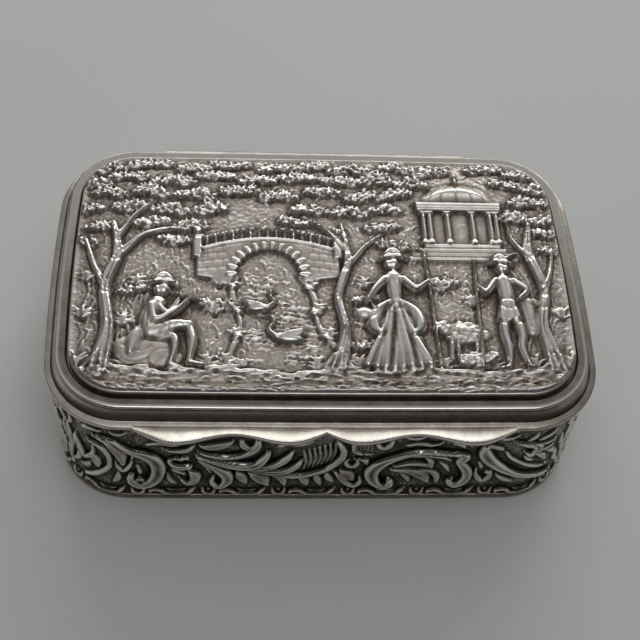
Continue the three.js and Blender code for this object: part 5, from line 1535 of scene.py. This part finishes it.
def thumb_reach(x):
    """How far the scalloped lip stands out from the brim at a place along the front."""
    s = abs(x)
    span = max(k for k in range(4) if s >= THUMB_PLACES[k])
    share = (s - THUMB_PLACES[span]) / (THUMB_PLACES[span + 1] - THUMB_PLACES[span])
    swing = (math.sin(share * math.pi / 2), (1 - math.cos(math.pi * share)) / 2,
             (1 - math.cos(math.pi * share)) / 2, 1 - math.cos(share * math.pi / 2))[span]
    return THUMB_REACHES[span] + (THUMB_REACHES[span + 1] - THUMB_REACHES[span]) * swing


def lip_section(reach):
    """Outline of the lip, as places out from the brim and heights, and how many points its underside has."""
    root_top = BRIM_TOP + (LEDGE_TOP - BRIM_TOP) * THUMB_LAP / LEDGE_WIDTH + LIP_PROUD
    fall = root_top - BRIM_TOP + THUMB_DROOP * reach
    out = (reach + THUMB_LAP) * LIP_SHARES - THUMB_LAP
    upper = [(o, root_top - fall * ((o + THUMB_LAP) / (reach + THUMB_LAP)) ** THUMB_CURVE) for o in out]
    upper.append((-THUMB_LAP - LIP_ROOT, root_top - LIP_ROOT))
    lower = [(o, z - BRIM_TOP + BRIM_BOTTOM) for o, z in upper[-2::-1]]
    return round_corners(lower + upper, LIP_ROUND, LIP_ROUND_STEPS), (LIP_ROUND_STEPS + 1) * len(lower)


def thumb_piece(material):
    """Scalloped thumb lip along the front of the brim, turned down at its edge."""
    rows = []
    tones = []
    for x in np.linspace(-THUMB_PLACES[-1], THUMB_PLACES[-1], THUMB_STEPS):
        reach = thumb_reach(x)
        front = LONG_CENTRE + math.sqrt(LONG_RADIUS**2 - x * x)
        section, under = lip_section(reach)
        rows.append([(x, -front - out, z) for out, z in section])
        tone = np.interp(section[:, 0], reach * LIP_TONE_PLACES, LIP_TONES)
        tone[:under] = LIP_UNDER_SHADE
        tones.append(tone)
    made = mesh_object("thumb_lip", np.vstack(rows), capped_faces(len(rows), len(rows[0])))
    keep_tone(made, np.concatenate(tones))
    return dress(made, "thumb_piece", "lid", material)


# Hinge

TUBE_SHOULDER = (0.05, 0.1)
STRIP_STEPS = 28
STRIP_TURN_STEPS = 40
PIN_RADIUS = 0.6
PLUG_SEAM = 0.1
DOME_DEGREES = np.linspace(0, 86, 9)


def knuckle_piece(index, material):
    """One tube of the hinge. Even ones belong to the case, odd ones to the lid."""
    body = "case" if index % 2 == 0 else "lid"
    node = f"{body}_knuckle_{index // 2 + 1}"
    middle = (index - (KNUCKLES - 1) / 2) * KNUCKLE_LENGTH
    half = (KNUCKLE_LENGTH - KNUCKLE_GAP) / 2
    shy = KNUCKLE_RADIUS - KNUCKLE_CHAMFER
    along, up = TUBE_SHOULDER
    end = [(half, BORE_RADIUS), (half, shy), (half - along, shy + up),
           (half - KNUCKLE_CHAMFER, KNUCKLE_RADIUS)]
    profile = [(middle - x, radius) for x, radius in end] + [(middle + x, radius) for x, radius in end[::-1]]
    return dress(lathe_mesh(node + "_tube", profile), node, body, material)


def strip_piece(name, node, body, angles, material):
    """Strip of sheet bent round the knuckles, between two angles about the pin."""
    turn = np.radians(np.linspace(angles[0], angles[1], STRIP_TURN_STEPS))
    section = [(STRIP_OUTER * math.cos(a), STRIP_OUTER * math.sin(a)) for a in turn]
    section += [(STRIP_INNER * math.cos(a), STRIP_INNER * math.sin(a)) for a in turn[::-1]]
    places = np.linspace(-HINGE_HALF, HINGE_HALF, STRIP_STEPS)
    points = [(x, PIN_Y + out, PIN_Z + up) for x in places for out, up in section]
    made = mesh_object(name, points, capped_faces(STRIP_STEPS, len(section)))
    return dress(made, node, body, material)


def plug_piece(side, material):
    """Domed plug that closes the bore of an end knuckle."""
    node = "pin_plug_right" if side > 0 else "pin_plug_left"
    face = HINGE_HALF - KNUCKLE_GAP / 2 + PLUG_SEAM
    profile = [(HINGE_HALF - PLUG_SPIGOT, PIN_RADIUS), (face, PIN_RADIUS)]
    for a in np.radians(DOME_DEGREES):
        profile.append((face + PLUG_HEIGHT * math.sin(a), PLUG_RADIUS * math.cos(a)))
    made = lathe_mesh(node + "_dome", [(side * x, radius) for x, radius in profile], closed=False)
    return dress(made, node, "case", material)


# Materials

# Noises: cells to the metre, detail, roughness and, for scratches, how they are drawn out along X
BLOTCH = (170, 6, 0.62)
WEAR = (700, 5, 0.6)
WOBBLE = (260, 2, 0.5)
SCRATCH = (900, 3, 0.6, (0.25, 4.0, 4.0))
STAIN = (320, 6, 0.65)
GRAIN = (3800, 2, 0.5)
FINE_SCRATCH = (1300, 3, 0.6, (0.3, 3.0, 3.0))
STAIN_SHIFT = 0.09
# Bumps: strength and height in metres, or the height alone where the strength differs
WOBBLE_HEIGHT = 0.0002
SCRATCH_BUMP = (0.12, 0.00002)
GRAIN_BUMP = (0.18, 0.00005)
FINE_SCRATCH_BUMP = (0.1, 0.00002)


def new_material(name, metallic):
    """A material, its node tree and its shader."""
    material = bpy.data.materials.new(name)
    material.use_nodes = True
    shader = material.node_tree.nodes["Principled BSDF"]
    shader.inputs["Metallic"].default_value = metallic
    return material, material.node_tree, shader


def add_node(tree, kind, values=None, **settings):
    """A node with its settings and the values of its named inputs."""
    made = tree.nodes.new(kind)
    for name, value in settings.items():
        setattr(made, name, value)
    for name, value in (values or {}).items():
        made.inputs[name].default_value = value
    return made


def add_ramp(tree, source, stops):
    """Colours, or greys, spread over the source's range."""
    ramp = tree.nodes.new("ShaderNodeValToRGB")
    elements = ramp.color_ramp.elements
    while len(elements) < len(stops):
        elements.new(0.5)
    for element, (place, colour) in zip(elements, stops):
        element.position = place
        element.color = (*colour, 1) if isinstance(colour, tuple) else (colour, colour, colour, 1)
    tree.links.new(source, ramp.inputs["Fac"])
    return ramp.outputs["Color"]


def add_noise(tree, place, scale, detail, roughness, stretch=None):
    """Soft noise at a number of cells to the metre, drawn out along an axis if asked."""
    if stretch:
        mapping = add_node(tree, "ShaderNodeMapping", {"Scale": stretch})
        tree.links.new(place, mapping.inputs["Vector"])
        place = mapping.outputs["Vector"]
    noise = add_node(tree, "ShaderNodeTexNoise", {"Scale": scale, "Detail": detail, "Roughness": roughness})
    tree.links.new(place, noise.inputs["Vector"])
    return noise.outputs["Fac"]


def add_bumps(tree, shader, layers):
    """Fine unevenness: (source, strength, height in metres) layers, one over the other."""
    normal = None
    for source, strength, height in layers:
        bump = add_node(tree, "ShaderNodeBump", {"Strength": strength, "Distance": height})
        tree.links.new(source, bump.inputs["Height"])
        if normal:
            tree.links.new(normal, bump.inputs["Normal"])
        normal = bump.outputs["Normal"]
    tree.links.new(normal, shader.inputs["Normal"])


def plain_metal(name, clean, dull, gloss, haze, dents):
    """Rubbed metal: dull blotches, fine scratches and the slight unevenness of hand work."""
    material, tree, shader = new_material(name, 1.0)
    place = add_node(tree, "ShaderNodeTexCoord").outputs["Object"]
    blotch = add_noise(tree, place, *BLOTCH)
    tree.links.new(add_ramp(tree, blotch, [(0.38, clean), (0.66, dull)]), shader.inputs["Base Color"])
    wear = add_noise(tree, place, *WEAR)
    tree.links.new(add_ramp(tree, wear, [(0.3, gloss), (0.75, haze)]), shader.inputs["Roughness"])
    scratch = add_noise(tree, place, *SCRATCH)
    wobble = add_noise(tree, place, *WOBBLE)
    add_bumps(tree, shader, [(wobble, dents, WOBBLE_HEIGHT), (scratch, *SCRATCH_BUMP)])
    return material


def chased_metal(name, tones, gloss, haze):
    """Chased silver: dark in the hollows, worn bright on what stands proud, with the painted light and shade
    that the tones carry.
    """
    material, tree, shader = new_material(name, 1.0)
    place = add_node(tree, "ShaderNodeTexCoord").outputs["Object"]
    tone = add_node(tree, "ShaderNodeAttribute", attribute_name="tone").outputs["Fac"]
    stain = add_noise(tree, place, *STAIN)
    limits = {"From Min": 0.3, "From Max": 0.7, "To Min": -STAIN_SHIFT, "To Max": STAIN_SHIFT}
    shift = add_node(tree, "ShaderNodeMapRange", limits)
    tree.links.new(stain, shift.inputs["Value"])
    total = add_node(tree, "ShaderNodeMath", operation="ADD", use_clamp=True)
    tree.links.new(tone, total.inputs[0])
    tree.links.new(shift.outputs["Result"], total.inputs[1])
    # Tone shifted by stains: tarnish and wear, with painted light and shade on some pieces
    wear_and_shade = total.outputs["Value"]
    tree.links.new(add_ramp(tree, wear_and_shade, tones), shader.inputs["Base Color"])
    tree.links.new(add_ramp(tree, wear_and_shade, [(0.2, haze), (0.7, gloss)]), shader.inputs["Roughness"])
    grain = add_noise(tree, place, *GRAIN)
    scratch = add_noise(tree, place, *FINE_SCRATCH)
    add_bumps(tree, shader, [(grain, *GRAIN_BUMP), (scratch, *FINE_SCRATCH_BUMP)])
    return material


SILVER = plain_metal("polished_silver_mount", (0.83, 0.82, 0.80), (0.62, 0.58, 0.53), 0.12, 0.3, 0.25)
HINGE_SILVER = plain_metal("hinge_silver", (0.36, 0.345, 0.32), (0.23, 0.21, 0.185), 0.28, 0.45, 0.15)
BASE_SILVER = plain_metal("base_silver", (0.72, 0.71, 0.68), (0.44, 0.41, 0.37), 0.24, 0.45, 0.2)
GILDING = plain_metal("rubbed_gilding", (0.90, 0.70, 0.36), (0.72, 0.58, 0.36), 0.2, 0.38, 0.2)
PIN_STEEL = plain_metal("drawn_steel", (0.50, 0.51, 0.52), (0.34, 0.33, 0.32), 0.3, 0.5, 0.1)
LID_TONES = [(0.05, (0.20, 0.162, 0.13)), (0.3, (0.43, 0.385, 0.335)), (0.55, (0.69, 0.665, 0.63)),
             (0.8, (0.85, 0.84, 0.81))]
WALL_TONES = [(0.08, (0.013, 0.011, 0.009)), (0.36, (0.096, 0.086, 0.074)), (0.6, (0.52, 0.49, 0.45)),
              (0.85, (0.85, 0.83, 0.80))]
MOUNT_TONES = [(0.06, (0.052, 0.043, 0.034)), (0.35, (0.38, 0.34, 0.29)), (0.6, (0.745, 0.705, 0.635)),
               (0.85, (0.85, 0.83, 0.78))]
LID_SILVER = chased_metal("picture_silver", LID_TONES, 0.28, 0.55)
WALL_SILVER = chased_metal("scrollwork_silver", WALL_TONES, 0.18, 0.5)
MOUNT_SILVER = chased_metal("mount_silver", MOUNT_TONES, 0.15, 0.35)


# Building

def carry_over(node, material):
    """A solid whose shape is right stays, with a better material."""
    mesh = nodes[node].data
    mesh.materials.clear()
    mesh.materials.append(material)
    shade(mesh)


foot_piece(MOUNT_SILVER)
bottom_piece(BASE_SILVER)
wall_piece(WALL_SILVER)
rim_piece(SILVER)
lining_piece(GILDING)
frame_piece(MOUNT_SILVER)
bead_piece(MOUNT_SILVER)
panel_piece(LID_SILVER)
lid_lining_piece(GILDING)
thumb_piece(MOUNT_SILVER)
for tube in range(KNUCKLES):
    knuckle_piece(tube, HINGE_SILVER)
strip_piece("case_strip", "case_joint_strip", "case", CASE_STRIP_ANGLES, HINGE_SILVER)
strip_piece("lid_strip", "lid_joint_strip", "lid", LID_STRIP_ANGLES, HINGE_SILVER)
plug_piece(1, HINGE_SILVER)
plug_piece(-1, HINGE_SILVER)
carry_over("hinge_pin", PIN_STEEL)


# Floor, light and camera

SKY_MIDDLE = (0.0, 0.3, 0.95)
SKY_SHADES = [(0.0, 0.03), (0.35, 0.04), (0.7, 0.2), (0.94, 0.32), (1.0, 0.35)]
FLOOR_HALF = 6.0
FLOOR_SHADES = [(0.3, (0.74, 0.74, 0.725)), (0.7, (0.77, 0.77, 0.755))]
FLOOR_CLOUD = (9, 3, 0.5)
FLOOR_ROUGHNESS = 0.7
FLOOR_SHEEN = 0.2
# Lamps: place, size and power
OVERHEAD_LAMP = ((0.05, -0.2, 0.74), (0.5, 0.5), 0.95)
WINDOW_LAMP = ((0.15, 0.9, 0.33), (1.1, 0.55), 5.0)


def make_floor():
    """Plain pale floor with a faint unevenness of tone."""
    corners = [(x * FLOOR_HALF, y * FLOOR_HALF, 0) for x, y in ((-1, -1), (1, -1), (1, 1), (-1, 1))]
    mesh = bpy.data.meshes.new("floor")
    mesh.from_pydata(corners, [], [(0, 1, 2, 3)])
    material, tree, shader = new_material("floor_paper", 0.0)
    shader.inputs["Roughness"].default_value = FLOOR_ROUGHNESS
    shader.inputs["Specular IOR Level"].default_value = FLOOR_SHEEN
    place = add_node(tree, "ShaderNodeTexCoord").outputs["Object"]
    cloud = add_noise(tree, place, *FLOOR_CLOUD)
    tree.links.new(add_ramp(tree, cloud, FLOOR_SHADES), shader.inputs["Base Color"])
    mesh.materials.append(material)
    add_object("floor", mesh)


def make_world():
    """Dim soft light from overhead, a little from behind, that falls off to a dark horizon."""
    world = bpy.data.worlds.new("studio")
    bpy.context.scene.world = world
    world.use_nodes = True
    tree = world.node_tree
    background = tree.nodes["Background"]
    way = add_node(tree, "ShaderNodeTexCoord").outputs["Generated"]
    facing = add_node(tree, "ShaderNodeVectorMath", operation="DOT_PRODUCT")
    facing.inputs[1].default_value = SKY_MIDDLE
    tree.links.new(way, facing.inputs[0])
    tree.links.new(add_ramp(tree, facing.outputs["Value"], SKY_SHADES), background.inputs["Color"])
    background.inputs["Strength"].default_value = 1.0


def make_lamp(name, place, size, power):
    """Soft lamp that faces the box."""
    lamp = bpy.data.lights.new(name, "AREA")
    lamp.shape = "RECTANGLE"
    lamp.size, lamp.size_y = size
    lamp.energy = power
    made = add_object(name, lamp)
    made.location = place
    made.rotation_euler = (-Vector(place)).to_track_quat("-Z", "Y").to_euler()
    made.visible_camera = False


CAMERA_PLACE = (-0.01513, -0.12716, 0.18976)
CAMERA_AHEAD = (0.0722, 0.584, -0.8085)
CAMERA_RIGHT = (0.9973, -0.0348, 0.064)
FOCAL_PIXELS = 1237.32
IMAGE_PIXELS = 640
PRINCIPAL_DROP = 1.0
SENSOR_MM = 36.0
NEAREST = 0.01


def make_camera():
    """Camera at the photograph's place, in its direction and with its angle of view."""
    camera = bpy.data.cameras.new("camera")
    camera.sensor_width = SENSOR_MM
    camera.lens = SENSOR_MM * FOCAL_PIXELS / IMAGE_PIXELS
    camera.shift_y = -PRINCIPAL_DROP / IMAGE_PIXELS
    camera.clip_start = NEAREST
    made = add_object("camera", camera)
    ahead = Vector(CAMERA_AHEAD).normalized()
    right = Vector(CAMERA_RIGHT)
    right = (right - ahead * right.dot(ahead)).normalized()
    up = right.cross(ahead)
    turn = Matrix((right, up, -ahead)).transposed()
    made.matrix_world = Matrix.Translation(CAMERA_PLACE) @ turn.to_4x4()
    bpy.context.scene.camera = made


make_floor()
make_world()
make_lamp("overhead", *OVERHEAD_LAMP)
make_lamp("window", *WINDOW_LAMP)
make_camera()
bpy.context.scene.view_settings.view_transform = "Standard"
